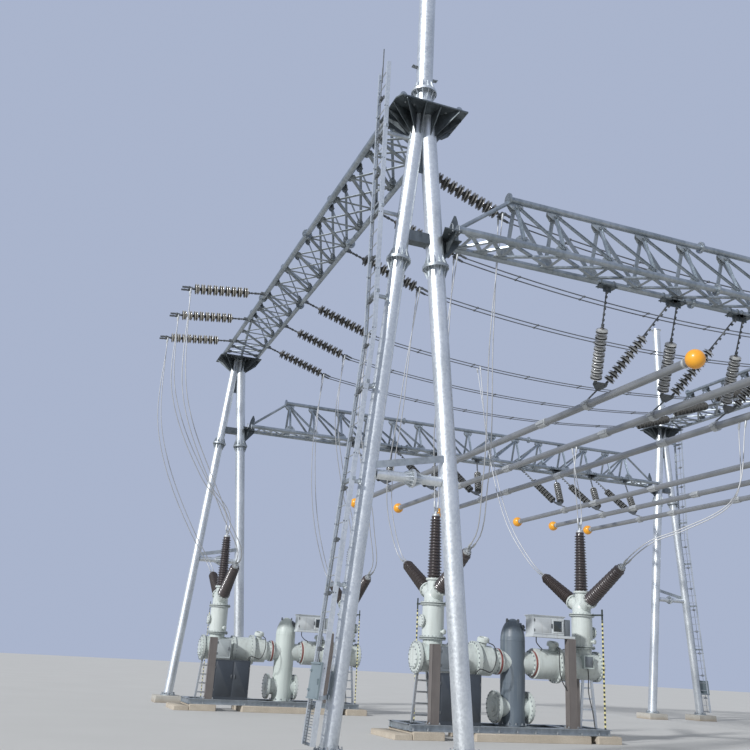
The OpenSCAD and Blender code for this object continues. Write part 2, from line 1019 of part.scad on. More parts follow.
// box posts on the frame: tall ones in front and behind, short ones under the tanks
module module_posts() {
  color([0.33, 0.31, 0.3])
    each_module() {
      translate([post_a - post_side / 2, -post_y - 90, bed])
        cube([post_side, 180, 2120 - bed]);
      translate([post_b - post_side / 2, -post_y - 90, bed])
        cube([post_side, 180, shelf_z - bed]);
      for (x = prop_xs)
        difference() {
          translate([x - 80, -110, bed])
            cube([160, 220, tank_level - bed]);
          translate([x - 100, 0, tank_level])
            rotate([0, 90, 0])
              cylinder(d = (x < breaker_x ? housing_d : tank_d) + 2 * gap, h = 200);
        }
    }
}

// one length of the horizontal gas tank
module run(x0, x1, d) {
  translate([x0, 0, tank_level])
    rotate([0, 90, 0])
      cylinder(d = d, h = x1 - x0);
}

// hand hole on top of a housing, leaning a little to the front
module hand_hole(x) {
  translate([x, 0, tank_level])
    rotate([14, 0, 0]) {
      cylinder(d = 190, h = housing_d / 2 + 95);
      translate([0, 0, housing_d / 2 + 95])
        cylinder(d = 310, h = 45);
    }
}

// tee bodies below the risers, transformer housings, flanges and necks to the breaker tank
module gas_tanks() {
  color([0.74, 0.79, 0.76])
    each_module()
      difference() {
        union() {
          run(-510, -459, 520);
          run(-460, -389, 760);
          run(-390, 500, tank_d);
          run(480, 570, 810);
          run(560, 1100, housing_d);
          run(1080, 1170, 910);
          run(1160, 1560, housing_d - 20);
          run(1540, 1740, 560);
          run(1720, 1830, 630);
          run(1810, riser_pitch - 1590, 520);
          run(riser_pitch - 1590, riser_pitch - 1480, 630);
          run(riser_pitch - 1500, riser_pitch - 860, housing_d);
          run(riser_pitch - 880, riser_pitch - 790, 910);
          run(riser_pitch - 800, riser_pitch - 530, housing_d);
          run(riser_pitch - 540, riser_pitch - 450, 810);
          run(riser_pitch - 460, riser_pitch + 360, tank_d);
          run(riser_pitch + 350, riser_pitch + 421, 760);
          run(riser_pitch + 420, riser_pitch + 471, 520);
          for (x = riser_xs)
            translate([x, 0, tank_level])
              cylinder(d = riser_d - 60, h = riser_foot - tank_level);
          hand_hole(1330);
          hand_hole(riser_pitch - 970);
        }
        translate([breaker_x, 0, 0])
          cylinder(d = breaker_d + 2 * gap, h = 4000);
      }
}

// riser tube with flanges and the head from which three stubs fan out across the bay
module riser() {
  translate([0, 0, riser_foot]) {
    cylinder(d = riser_d + 110, h = 56);
    cylinder(d = riser_d, h = riser_top - riser_foot);
  }
  translate([0, 0, riser_top]) {
    cylinder(d = riser_d + 110, h = 66);
    cylinder(d = 480, h = pivot_level - riser_top);
  }
  translate([0, 0, pivot_level]) {
    sphere(d = 480);
    for (a = [-1, 0, 1])
      rotate([a * bushing_lean, 0, 0]) {
        cylinder(d = 330, h = bushing_start);
        translate([0, 0, bushing_start - 44])
          cylinder(d = 410, h = 44);
      }
  }
}

module risers() {
  color([0.74, 0.79, 0.76])
    each_module()
      for (x = riser_xs)
        translate([x, 0, 0])
          riser();
}

module each_bushing() {
  each_module()
    for (x = riser_xs)
      translate([x, 0, pivot_level])
        for (a = [-1, 0, 1])
          rotate([a * bushing_lean, 0, 0])
            translate([0, 0, bushing_start])
              children();
}

shed_pitch = (bushing_len - 60) / shed_count;
function core_r(i) = 145 - 45 * i / shed_count;
function shed_points(i) = [
  [core_r(i), 30 + i * shed_pitch], [core_r(i) + 38, 30 + i * shed_pitch + 0.36 * shed_pitch],
  [core_r(i) + 38, 30 + i * shed_pitch + 0.5 * shed_pitch],
  [core_r(i), 30 + i * shed_pitch + 0.82 * shed_pitch]
];

// hollow insulator with sheds that narrow toward the tip
module bushings() {
  color([0.16, 0.12, 0.12])
    each_bushing()
      rotate_extrude()
        polygon(concat([[0, 0], [core_r(0) + 20, 0], [core_r(0) + 20, 24]],
          flat_list([for (i = [0:shed_count - 1]) shed_points(i)]),
          [[core_r(shed_count), bushing_len], [0, bushing_len]]));
}

// metal cap on a bushing's tip with a round stem and a flat terminal pad
module bushing_terminals() {
  color([0.8, 0.82, 0.82])
    each_bushing()
      translate([0, 0, bushing_len]) {
        cylinder(d = 190, h = 50);
        cylinder(d = 56, h = 140);
        translate([-55, -9, 110])
          cube([110, 18, 110]);
      }
}

breaker_side = 2330 - bed;
breaker_dome = 540;

// upright tank with a foot flange and a domed head
module breaker_tanks() {
  color([0.38, 0.46, 0.52])
    each_module()
      translate([breaker_x, 0, bed])
        rotate_extrude()
          polygon(concat([[0, 0], [breaker_d / 2 + 50, 0], [breaker_d / 2 + 50, 26],
            [breaker_d / 2, 26]],
            [for (a = [0:10:80]) [breaker_d / 2 * cos(a), breaker_side + breaker_dome * sin(a)]],
            [[0, breaker_side + breaker_dome]]));
}

drum_level = 750;
drum_reach = [540, 430];

// stubs at both sides of the breaker tank's foot, closed by large round covers
module breaker_drums() {
  color([0.7, 0.76, 0.74])
    each_module()
      translate([breaker_x, 0, drum_level])
        difference() {
          for (m = [0, 1])
            rotate([0, m == 0 ? -90 : 90, 0]) {
              cylinder(d = 480, h = drum_reach[m] - 30);
              translate([0, 0, drum_reach[m] - 70])
                cylinder(d = 760, h = 70);
            }
          cylinder(d = breaker_d + 2 * gap, h = 2000, center = true);
        }
}

cabinet_z = 2500;
cabinet_x = 2440;
cabinet_w = 890;
cabinet_h = 440;

// control cabinet over the right housing, with a roof and a door panel, on a shelf held by the right post
module control_cabinets() {
  color([0.78, 0.8, 0.8])
    each_module() {
      translate([cabinet_x, -660, cabinet_z + gap])
        cube([cabinet_w, 360, cabinet_h]);
      translate([cabinet_x - 20, -680, cabinet_z + cabinet_h + gap])
        cube([cabinet_w + 40, 400, 22]);
      translate([cabinet_x + 10, -674, cabinet_z + 20])
        cube([cabinet_w - 20, 15, cabinet_h - 40]);
      translate([cabinet_x - 20, -670, shelf_z + gap])
        cube([post_b + post_side / 2 - cabinet_x + 20, 370, cabinet_z - shelf_z - gap]);
    }
}

// drive boxes: by the left post, between cabinet and riser, and on the tee bodies' fronts
module mechanism_boxes() {
  color([0.4, 0.44, 0.48])
    each_module() {
      translate([post_a + post_side / 2 + gap, -post_y - 90, 1520])
        cube([430, 260, 560]);
      translate([post_a + post_side / 2 + gap, -post_y - 90, bed + gap])
        cube([1090, 260, 1150]);
      translate([cabinet_x + cabinet_w + 5, -640, cabinet_z + gap])
        cube([185, 310, 400]);
      difference() {
        union()
          for (x = [riser_pitch - 90, -120])
            translate([x - 150, -420, tank_level - 60])
              cube([300, 170, 330]);
        for (x = riser_xs)
          translate([x - 500, 0, tank_level])
            rotate([0, 90, 0])
              cylinder(d = tank_d + 2 * gap, h = 1200);
      }
    }
}

// pale trestles with rungs that carry the outer ends of the tee bodies
module trestle(x) {
  h = tank_level - 200;
  difference() {
    translate([x, 25, 0])
      rotate([90, 0, 0])
        linear_extrude(height = 50) {
          for (m = [-1, 1])
            polygon([[m * 265, bed], [m * 205, bed], [m * 85, h], [m * 145, h]]);
          for (z = [bed + 150:260:h - 180])
            translate([-205 + (z - bed) * 0.08, z])
              square([410 - (z - bed) * 0.16, 40]);
        }
    translate([x - 600, 0, tank_level])
      rotate([0, 90, 0])
        cylinder(d = tank_d + 2 * gap, h = 1200);
  }
}

module end_trestles() {
  color([0.8, 0.82, 0.82])
    each_module() {
      trestle(-250);
      trestle(riser_pitch + 120);
    }
}

earth_t = 12;
earth_w = 60;

// striped earthing bars from the frame up to an arm that reaches in to the riser's flange
module earthing_bars() {
  color([0.75, 0.7, 0.2])
    each_module() {
      earthing_bar(riser_pitch, 1, -post_y);
      earthing_bar(0, -1, post_y - 130);
    }
}

module earthing_bar(x, s, y) {
  reach = 220;
  translate([x + s * reach - earth_t / 2, y - earth_w / 2, bed])
    cube([earth_t, earth_w, riser_top + 180 - bed]);
  hull() {
    translate([x + s * reach - 20, y - 20, riser_top + 18])
      cube([40, 40, 40]);
    translate([x + s * 130 - 20, (y > 0 ? 1 : -1) * (riser_d / 2 + 56.2) - 20, riser_top + 18])
      cube([40, 40, 40]);
  }
}

// a wire through chosen points, as a round tube
wire_sides = 8;
function unit(v) = v / norm(v);
function heading(p, i) = unit(p[min(i + 1, len(p) - 1)] - p[max(i - 1, 0)]);
function ring(c, t, ref, r) =
  let (u = unit(cross(t, ref)), w = cross(t, u))
  [for (a = [0:360 / wire_sides:359]) c + r * (cos(a) * u + sin(a) * w)];

module wire(p, ref, d) {
  n = wire_sides;
  last = len(p) - 1;
  points = flat_list([for (i = [0:last]) ring(p[i], heading(p, i), ref, d / 2)]);
  sides = [for (i = [0:last - 1]) for (k = [0:n - 1])
    [n * i + k, n * i + (k + 1) % n, n * (i + 1) + (k + 1) % n, n * (i + 1) + k]];
  polyhedron(points, concat([[for (k = [n - 1:-1:0]) k]], sides, [[for (k = [0:n - 1]) n * last + k]]));
}

bare_tip = bushing_start + bushing_len + 220;

// the end of a terminal pad: a is 1 for the front bushing, 0 upright, -1 for the rear one
function tip(place, x, a) = place + [x, -a * sin(bushing_lean) * bare_tip,
  pivot_level + (a == 0 ? 1 : cos(bushing_lean)) * bare_tip];

// the underside of a line string's clamp fork on the left beam
function fork(s, y) =
  let (fall = s > 0 ? inner_fall : outer_fall, l = string_len + fork_start + fork_len / 2, t = fork_t / 2)
  [-half_x + s * (string_out + l * cos(fall) - t * sin(fall)), y,
    line_level - string_drop - l * sin(fall) - t * cos(fall)];

// the underside of a bus tube
function below_tube(i, y) = [tube_xs[i], y, tube_level - tube_d / 2 - gap];

dropper_d = 36;

// hanging wires from the bushings to the strings and tubes, through chosen points
module droppers() {
  along_bay = [0, 1, 0];
  across_bay = [1, 0, 0];
  color([0.75, 0.76, 0.78]) {
    wire([tip(module_a, 0, 1), [-6750, -5700, 5600], [-7100, -6600, 8800], fork(1, -phase_ys[0])],
      across_bay, dropper_d);
    wire([tip(module_a, 0, 0), [-6900, -3300, 7300], [-7100, -4200, 9600], fork(1, -phase_ys[1])],
      across_bay, dropper_d);
    wire([tip(module_a, 0, -1), [-6850, -300, 5400], [-7150, -1500, 8700], fork(1, -phase_ys[2])],
      across_bay, dropper_d);
    wire([tip(module_a, riser_pitch, 1), [-1700, -5600, 4500], [-800, -6800, 5600],
      below_tube(2, -7200)], along_bay, dropper_d);
    wire([tip(module_a, riser_pitch, 0), [-2350, -2800, 6100], [-2480, -2850, 6900],
      below_tube(1, -2850)], along_bay, dropper_d);
    wire([tip(module_a, riser_pitch, -1), [-3000, -200, 4800], [-4000, 50, 5900],
      below_tube(0, 100)], along_bay, dropper_d);
    wire([tip(module_b, 0, 1), [-11000, 2700, 5600], [-12600, 2200, 8800], fork(-1, phase_ys[2])],
      along_bay, dropper_d);
    wire([tip(module_b, 0, 0), [-11300, 5100, 7000], [-12700, 4600, 9700], fork(-1, phase_ys[1])],
      along_bay, dropper_d);
    wire([tip(module_b, 0, -1), [-11100, 7600, 5600], [-12700, 7100, 9000], fork(-1, phase_ys[0])],
      along_bay, dropper_d);
    wire([tip(module_b, riser_pitch, 1), [-6300, 2700, 5600], [-7100, 2200, 8800],
      fork(1, phase_ys[2])], along_bay, dropper_d);
    wire([tip(module_b, riser_pitch, 0), [-6500, 5100, 7200], [-7100, 4600, 9500],
      fork(1, phase_ys[1])], along_bay, dropper_d);
    wire([tip(module_b, riser_pitch, -1), [-6500, 7600, 5700], [-7100, 7100, 9000],
      fork(1, phase_ys[0])], along_bay, dropper_d);
  }
}

span_d = 34;
span_sag = 450;
span_steps = 6;
span_half = half_x - string_out - (string_len + barrel_end) * cos(inner_fall) - 1;
span_low = line_level - string_drop - (string_len + barrel_end) * sin(inner_fall) - span_sag;
function span_point(i, y) = [i / span_steps * span_half, y, span_low + span_sag * pow(i / span_steps, 2)];

// taut twin wires across the bay between the inner strings, each sagging in a shallow curve
module span_conductors() {
  color([0.72, 0.73, 0.75])
    for (y = inner_ys)
      for (side = [-pair_half, pair_half])
        wire([for (i = [-span_steps:span_steps]) span_point(i, y + side)], [0, 1, 0], span_d);
}

leg_pedestals();
leg_base_plates();
front_left_legs();
front_right_legs();
rear_left_legs();
rear_right_legs();
leg_joint_collars();
leg_cross_ties();
tie_braces();
head_plates();
peak_masts();
access_ladders();
ladder_brackets();
ladder_doors();
beam_seats();
left_beam_chords();
left_beam_outer_side();
left_beam_inner_side();
left_beam_floor();
right_beam_chords();
right_beam_outer_side();
right_beam_inner_side();
right_beam_floor();
front_beam_chords();
front_beam_outer_side();
front_beam_inner_side();
front_beam_floor();
rear_beam_chords();
rear_beam_outer_side();
rear_beam_inner_side();
rear_beam_floor();
beam_end_struts();
line_insulators();
line_string_links();
bus_insulators();
bus_string_links();
bus_tubes();
bus_end_balls();
bus_tube_clamps();
module_plinths();
module_base_frames();
module_posts();
gas_tanks();
risers();
bushings();
bushing_terminals();
breaker_tanks();
breaker_drums();
control_cabinets();
mechanism_boxes();
end_trestles();
earthing_bars();
droppers();
span_conductors();
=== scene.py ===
import bpy
import numpy as np
from mathutils import Matrix, Vector


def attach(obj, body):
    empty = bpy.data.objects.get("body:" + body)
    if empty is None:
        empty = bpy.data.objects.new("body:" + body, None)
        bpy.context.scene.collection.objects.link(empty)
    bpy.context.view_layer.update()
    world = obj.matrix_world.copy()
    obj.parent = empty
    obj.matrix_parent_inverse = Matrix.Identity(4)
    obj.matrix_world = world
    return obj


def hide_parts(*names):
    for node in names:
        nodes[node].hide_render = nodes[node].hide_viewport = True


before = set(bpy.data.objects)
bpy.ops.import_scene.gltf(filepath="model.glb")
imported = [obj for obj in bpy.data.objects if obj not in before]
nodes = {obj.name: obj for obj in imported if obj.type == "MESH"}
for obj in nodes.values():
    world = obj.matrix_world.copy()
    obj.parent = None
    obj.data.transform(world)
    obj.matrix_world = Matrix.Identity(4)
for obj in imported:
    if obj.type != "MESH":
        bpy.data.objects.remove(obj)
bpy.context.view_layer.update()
scene = bpy.context.scene
scene.view_settings.view_transform = "Standard"


# The view. The camera stands at eye height outside the front left corner and looks up along the bay,
# tipped three degrees; its lens takes in a square frame.
eye = np.array([-15.922, -23.162, 1.64])
heading, rise, tip = np.radians([20.067, 18.146, 3.051])
forward = np.array([np.sin(heading) * np.cos(rise), np.cos(heading) * np.cos(rise), np.sin(rise)])
level = np.array([np.cos(heading), -np.sin(heading), 0.0])
over = np.cross(level, forward)
right = np.cos(tip) * level + np.sin(tip) * over
upward = np.cos(tip) * over - np.sin(tip) * level
camera = bpy.data.objects.new("camera", bpy.data.cameras.new("camera"))
camera.data.sensor_width = 36.0
camera.data.lens = 41.98
camera.data.clip_end = 500.0
camera.matrix_world = Matrix(np.vstack([np.column_stack([right, upward, -forward, eye]), [0, 0, 0, 1]]))
scene.collection.objects.link(camera)
scene.camera = camera


# The light is a high pale day: one broad sun from the left and a plain sky. Where the camera, a gloss or
# a clear surface looks at the sky, it sees the pale backdrop colour at its own strength.
class Field:
    """A socket in a node tree. Sums and products of fields are Math nodes; node() adds any other node."""

    def __init__(self, socket):
        self.socket = socket

    def node(self, kind, settings, sockets, output=0):
        """Adds a node of that kind, sets its settings first and then its sockets, and gives one output."""
        tree = self.socket.id_data
        made = tree.nodes.new("ShaderNode" + kind)
        for key, value in settings.items():
            setattr(made, key, value)
        for key, value in sockets.items():
            if isinstance(value, Field):
                tree.links.new(value.socket, made.inputs[key])
            else:
                made.inputs[key].default_value = value
        return Field(made.outputs[output])

    def math(self, operation, first, second):
        """The result of a Math node on two fields or numbers."""
        return self.node("Math", {"operation": operation}, {0: first, 1: second})

    def __add__(self, other):
        return self.math("ADD", self, other)

    def __sub__(self, other):
        return self.math("SUBTRACT", self, other)

    def __rsub__(self, other):
        return self.math("SUBTRACT", other, self)

    def __mul__(self, other):
        return self.math("MULTIPLY", self, other)

    def __gt__(self, other):
        return self.math("GREATER_THAN", self, other)

    def __or__(self, other):
        return self.math("MAXIMUM", self, other)

    __radd__, __rmul__ = __add__, __mul__


def mix(factor, first, second):
    """The colour that goes from first to second as the factor field goes from 0 to 1."""
    ends = [tone if isinstance(tone, Field) else (*tone, 1) for tone in (first, second)]
    return factor.node("Mix", {"data_type": "RGBA"}, {0: factor, 6: ends[0], 7: ends[1]}, 2)


sky = bpy.data.worlds.new("sky")
sky.use_nodes = True
scene.world = sky
daylight = sky.node_tree.nodes["Background"]
daylight.inputs["Color"].default_value = (0.90, 0.94, 1.0, 1)
daylight.inputs["Strength"].default_value = 0.45
rays = sky.node_tree.nodes.new("ShaderNodeLightPath").outputs
looking, gloss, clear = [Field(rays[f"Is {kind} Ray"]) for kind in ("Camera", "Glossy", "Transmission")]
backdrop = looking.node("Background", {}, {"Color": (0.40, 0.46, 0.61, 1), "Strength": 1.0})
lighting = Field(daylight.outputs[0])
shown = looking.node("MixShader", {}, {0: looking | gloss | clear, 1: lighting, 2: backdrop})
sky.node_tree.links.new(shown.socket, sky.node_tree.nodes["World Output"].inputs["Surface"])

sun = bpy.data.objects.new("sun", bpy.data.lights.new("sun", "SUN"))
sun.data.energy = 3.1
sun.data.angle = np.radians(4)
sun.rotation_euler = Vector((-0.78, -0.40, 0.43)).to_track_quat("Z", "Y").to_euler()
scene.collection.objects.link(sun)


# The floor is a plain pale disc at ground level, which is no part of the bay.
def rings_to_shape(points):
    """A closed skin from rings of points (m, n, 3): bands join each to the next, strips close both ends."""
    m, n = points.shape[:2]
    low = np.arange(m - 1)[:, None] * n
    here, there = low + np.arange(n), low + (np.arange(n) + 1) % n
    bands = np.stack([here, there, there + n, here + n], -1).reshape(-1, 4)
    i = np.arange(n // 2 - 1)
    strip = np.stack([i, i + 1, n - 2 - i, n - 1 - i], -1)
    return points.reshape(-1, 3), np.concatenate([strip[:, ::-1], bands, strip + (m - 1) * n])


def turned(profile, sides):
    """A shape turned on z: profile point (r, z) becomes the ring (r cos a, r sin a, z)."""
    r, z = np.array(profile, float).T[:, :, None]
    a = 2 * np.pi * np.arange(sides) / sides
    return rings_to_shape(np.stack([r * np.cos(a), r * np.sin(a), z + 0 * a], -1))


def together(shapes):
    """Several (points, faces) shapes as one: each shape's faces count on from the points before it."""
    counts = np.cumsum([0] + [len(points) for points, faces in shapes])
    return np.concatenate([s[0] for s in shapes]), np.concatenate([s[1] + c for s, c in zip(shapes, counts)])


def skin(name, finish, shapes, crease=38.0):
    """One mesh at the origin from its shapes, smooth where its faces meet at less than the crease angle."""
    points, faces = together(shapes)
    mesh = bpy.data.meshes.new(name)
    mesh.from_pydata(points.tolist(), [], faces.tolist())
    mesh.polygons.foreach_set("use_smooth", np.ones(len(faces), bool))
    mesh.set_sharp_from_angle(angle=np.radians(crease))
    mesh.materials.append(finish)
    made = bpy.data.objects.new(name, mesh)
    scene.collection.objects.link(made)
    return made


def new_finish(name, **fixed):
    """Opens a finish with the shader values that are the same all over; gives it and its place field."""
    material = bpy.data.materials.new(name)
    material.use_nodes = True
    for key, value in fixed.items():
        material.node_tree.nodes["Principled BSDF"].inputs[key.replace("_", " ")].default_value = value
    return material, Field(material.node_tree.nodes.new("ShaderNodeTexCoord").outputs["Object"])


def set_finish(material, **varying):
    """Links the fields that vary over the surface to the finish's shader."""
    for key, field in varying.items():
        socket = material.node_tree.nodes["Principled BSDF"].inputs[key.replace("_", " ")]
        material.node_tree.links.new(field.socket, socket)


def noise(place, scale, detail=4.0, stretch=(1, 1, 1)):
    """Cloudy noise from 0 to 1 at a scale per metre, drawn out along the axes where stretch is small."""
    drawn = place.node("Mapping", {}, {"Vector": place, "Scale": stretch})
    return place.node("TexNoise", {}, {"Vector": drawn, "Scale": scale, "Detail": detail})


ground, place = new_finish("ground", Roughness=0.9)
set_finish(ground, Base_Color=mix(noise(place, 0.4), (0.56, 0.56, 0.55), (0.62, 0.62, 0.61)))
floor = skin("floor", ground, [turned([(140, -0.06), (140, -0.004)], 64)])


# Foot pads. Each leg stands on a square block of concrete, cast in place with chamfered edges and
# stained with splashed soil round its foot.
half_x, half_y = 9.9, 8.75
foot_out, head_under = 1.237, 12.42
lean_rate = 1.149 / head_under
pad_half, pad_height, pad_cut = 0.45, 0.22, 0.02
half_turn = [-1, -1, 1]


def bump(height, distance, strength=0.6):
    """A normal that follows a height field of that depth in metres."""
    return height.node("Bump", {}, {"Height": height, "Distance": distance, "Strength": strength})


def spread(field, low, high, first=0.0, last=1.0):
    """The field stretched so that low becomes first and high becomes last, and held there beyond."""
    return field.node("MapRange", {}, {"Value": field, 1: low, 2: high, 3: first, 4: last})


def along(place, axis):
    """How far a point lies along X, Y or Z."""
    return place.node("SeparateXYZ", {}, {0: place}, axis)


def pores(place, scale):
    """The distance to the nearest of many scattered points, large between them."""
    return place.node("TexVoronoi", {}, {"Vector": place, "Scale": scale}, "Distance")


concrete, place = new_finish("cast_concrete", Roughness=0.88)
pits, grain, cloud = pores(place, 45.0), noise(place, 60.0, 6.0), noise(place, 2.5, 6.0)
splash = spread(along(place, "Z") + 0.12 * cloud, 0.02, 0.2, 0.75, 0.0)
fresh = mix(cloud, (0.40, 0.385, 0.35), (0.60, 0.585, 0.54))
worn = mix((pits > 0.42) * 0.25, fresh, (0.28, 0.26, 0.23))
set_finish(concrete, Base_Color=mix(splash, worn, (0.30, 0.235, 0.17)), Normal=bump(grain + pits, 0.004))


def piece(name, finish, shapes, crease=38.0):
    """One piece of the bay: a skin that rides on the bay's only body and takes its finish from a slot."""
    made = skin(name, finish, shapes, crease)
    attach(made, "root")
    return made


def pad(x0, x1, y0, y1, z0, z1, cut):
    """A block with cut corners and a cut top edge: eight-cornered rings at foot, shoulder and top."""
    def ring(inset, z):
        """The eight corners at one height, drawn in by the inset."""
        a, b, c, d, k = x0 + inset, x1 - inset, y0 + inset, y1 - inset, cut
        front, back = [(a + k, c, z), (b - k, c, z)], [(b - k, d, z), (a + k, d, z)]
        return front + [(b, c + k, z), (b, d - k, z)] + back + [(a, d - k, z), (a, c + k, z)]
    return rings_to_shape(np.array([ring(0, z0), ring(0, z1 - cut), ring(cut, z1)]))


def moved(shape, way):
    """A shape carried along a vector."""
    return shape[0] + way, shape[1]


def half_turned(shape):
    """A shape after half a turn of the whole bay: x and y change sign."""
    return shape[0] * half_turn, shape[1]


def at_frames(shapes):
    """Shapes drawn about a frame's middle, at both left frames and, half turned, at both right ones."""
    left = [moved(together(shapes), [-half_x, y, 0]) for y in (-half_y, half_y)]
    return [copy for shape in left for copy in (shape, half_turned(shape))]


pads = []
for s in (-1, 1):
    middle = s * foot_out
    pads += [pad(middle - pad_half, middle + pad_half, -pad_half, pad_half, 0, pad_height, pad_cut)]
foot_pads = piece("foot_pads", concrete, at_frames(pads))
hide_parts("leg_pedestals")


# Legs, peaks and chords. Welded steel tube, hot-dip galvanised after making up, so the zinc runs over it
# in a frosty grain of crystals with long faint runs down the tube.
def zinc(name, dark, bright, rough, crystal=30.0):
    """A galvanised finish: crystals, clouds of tone and long runs between a dark and a bright tone."""
    material, place = new_finish(name, Metallic=0.82)
    cells = place.node("TexVoronoi", {}, {"Vector": place, "Scale": crystal}, "Color")
    facet = place.node("SeparateColor", {}, {0: cells})
    run = noise(place, 9.0, 5.0, (1, 1, 0.06))
    tone = spread(0.55 * noise(place, 1.3, 6.0) + 0.45 * run, 0.36, 0.66)
    frost = [min(1.0, 1.25 * part) for part in bright]
    set_finish(material, Base_Color=mix(0.30 * facet, mix(tone, dark, bright), frost))
    set_finish(material, Roughness=rough + 0.12 * facet + 0.10 * (1 - tone))
    set_finish(material, Normal=bump(noise(place, 25.0, 3.0) + 0.5 * facet, 0.0012, 0.35))
    return material


def dress(finish, *names):
    """Gives the named nodes of the bay a finish in place of their plain one."""
    for name in names:
        nodes[name].data.materials.clear()
        nodes[name].data.materials.append(finish)


bright_zinc = zinc("galvanised_tube", (0.52, 0.555, 0.58), (0.78, 0.81, 0.83), 0.33)
dull_zinc = zinc("galvanised_plate", (0.30, 0.33, 0.35), (0.50, 0.54, 0.56), 0.40, 22.0)
# Painted shade: a much darker copy of the galvanised plate for the head plates, beam seats, line beam gussets
# and hanger plates, seen from below.
shaded_zinc = zinc("galvanised_plate_painted_shade", (0.075, 0.09, 0.097), (0.19, 0.215, 0.23), 0.44, 18.0)
# Painted shade: a darker copy of the galvanised tube for the chords, end struts and bus beam bracing, for the
# beams seen from below.
shaded_beam_zinc = zinc("galvanised_chord_painted_shade", (0.22, 0.255, 0.28), (0.42, 0.46, 0.495), 0.30)
dress(bright_zinc, "front_left_legs", "front_right_legs", "rear_left_legs", "rear_right_legs")
dress(bright_zinc, "peak_masts", "leg_cross_ties", "end_trestles")
dress(dull_zinc, "leg_joint_collars", "leg_base_plates", "tie_braces", "ladder_brackets")
dress(shaded_zinc, "head_plates", "beam_seats")
dress(shaded_beam_zinc, "beam_end_struts", *[name for name in nodes if name.endswith("_chords")])


# Anchor bolts. Eight threaded studs cast into each pad stand between the ribs of the leg's base plate, each
# with a washer and a heavy nut run down on it.
x_axis, y_axis, z_axis = np.eye(3)


def placed(shape, origins, way, up=z_axis):
    """A copy of a shape at each origin: z along the way, which stretches it, x square to that and up."""
    points, faces = shape
    origins = np.atleast_2d(np.array(origins, float))
    z = np.zeros_like(origins) + way
    x = np.cross(np.zeros_like(z) + up, z)
    x /= np.linalg.norm(x, axis=1)[:, None]
    y = np.cross(z, x)
    y /= np.linalg.norm(y, axis=1)[:, None]
    copies = np.einsum("nij,pj->npi", np.stack([x, y, z], 2), points) + origins[:, None]
    count = np.arange(len(origins))[:, None, None] * len(points)
    return copies.reshape(-1, 3), (faces + count).reshape(-1, 4)


def circle(radius, count, start=0.0, centre=(0, 0, 0)):
    """Points on a level circle, evenly from a first angle."""
    a = np.radians(start) + 2 * np.pi * np.arange(count) / count
    return np.stack([radius * np.cos(a), radius * np.sin(a), 0 * a], 1) + centre


def nuts(grip, across, reach=0.5):
    """A bolt through a joint of that thickness: a hexagon and a washer on each side, and the shank's end."""
    r, h, g = across * 0.577, 0.42 * across, grip / 2
    washer = [(r * 1.25, g), (r * 1.25, g + 0.12 * across)]
    hexagon = [(r, g + 0.12 * across), (r, g + h), (r * 0.8, g + h + 0.05 * across)]
    shank = turned([(0.45 * r, g), (0.45 * r, g + h + reach * across)], 6)
    head = [turned([(q, -z) for q, z in ring[::-1]], sides) for ring, sides in ((washer, 8), (hexagon, 6))]
    return together([turned(washer, 8), turned(hexagon, 6), shank] + head)


def two_tone(name, dark, light, scale, detail, rough, rougher, **fixed):
    """A finish in clouds between two tones, rougher where it is light."""
    material, place = new_finish(name, **fixed)
    cloud = noise(place, scale, detail)
    set_finish(material, Base_Color=mix(cloud, dark, light), Roughness=rough + rougher * cloud)
    return material


def leg_x(side, z):
    """How far a leg's axis stands from the frame's middle at a height."""
    return side * (foot_out - lean_rate * z)


leg_d = {-1: 0.300, 1: 0.350}
plate_top, stud_ring = 0.25, 0.064
bolt_tones = (0.24, 0.26, 0.27), (0.52, 0.55, 0.57)
bolt_steel = two_tone("bolt_steel", *bolt_tones, 30.0, 3.0, 0.38, 0.2, Metallic=0.7)
stud = together([turned([(0.015, 0), (0.015, 0.075)], 8), turned([(0.034, 0.0), (0.034, 0.006)], 10),
                 turned([(0.027, 0.006), (0.027, 0.028), (0.022, 0.032)], 6)])
anchors = []
for s in (-1, 1):
    spots = circle(leg_d[s] / 2 + stud_ring, 8, 22.5, (leg_x(s, plate_top), 0, plate_top + 0.0001))
    anchors += [placed(stud, spots, z_axis, x_axis)]
piece("anchor_bolts", bolt_steel, at_frames(anchors))


# Joint bolts of the frames. Twelve bolts between the ribs of each leg collar, of the cross tie's flange
# and of the peak's flange, all hot-dip galvanised.
def flange(count, radius, start, centre, axis, grip, across, up=y_axis):
    """A ring of bolts round an axis through a centre."""
    ring = circle(radius, count, start)
    axis = np.array(axis, float) / np.linalg.norm(axis)
    points = placed((ring, np.zeros((0, 4), int)), [centre], axis, up)[0]
    return placed(nuts(grip, across), points, axis, up)


collar_height, tie_height, peak_flange = 9.08, 4.83, 13.02
frame_bolts = []
for s in (-1, 1):
    lean = np.array([-s * lean_rate, 0, 1.0])
    middle = (leg_x(s, collar_height), 0, collar_height)
    frame_bolts += [flange(12, leg_d[s] / 2 + 0.058, 15, middle, lean, 0.056, 0.036)]
frame_bolts += [flange(12, 0.143, 15, (0.06, 0, tie_height), x_axis, 0.048, 0.030)]
peak_bolts = flange(12, 0.235, 15, (-half_x, -half_y, peak_flange), z_axis, 0.056, 0.036)
joint_bolts = at_frames(frame_bolts) + [peak_bolts, half_turned(peak_bolts)]
piece("frame_joint_bolts", bolt_steel, joint_bolts)


# Earth lugs of the peaks. A pair of short flat lugs is welded to each peak a little above its flange, one
# lug on each side, and each holds a bolt for the earth wire's down lead.
def swept(profile, path, up=z_axis):
    """A profile carried along a path: its first axis is square to up and to the path, its second to both."""
    path, profile = np.array(path, float), np.array(profile, float)
    run = np.gradient(path, axis=0)
    run /= np.linalg.norm(run, axis=1)[:, None]
    side = np.cross(up, run)
    side /= np.linalg.norm(side, axis=1)[:, None]
    rise = np.cross(run, side)
    across, over = profile[None, :, :1], profile[None, :, 1:]
    return rings_to_shape(path[:, None] + across * side[:, None] + over * rise[:, None])


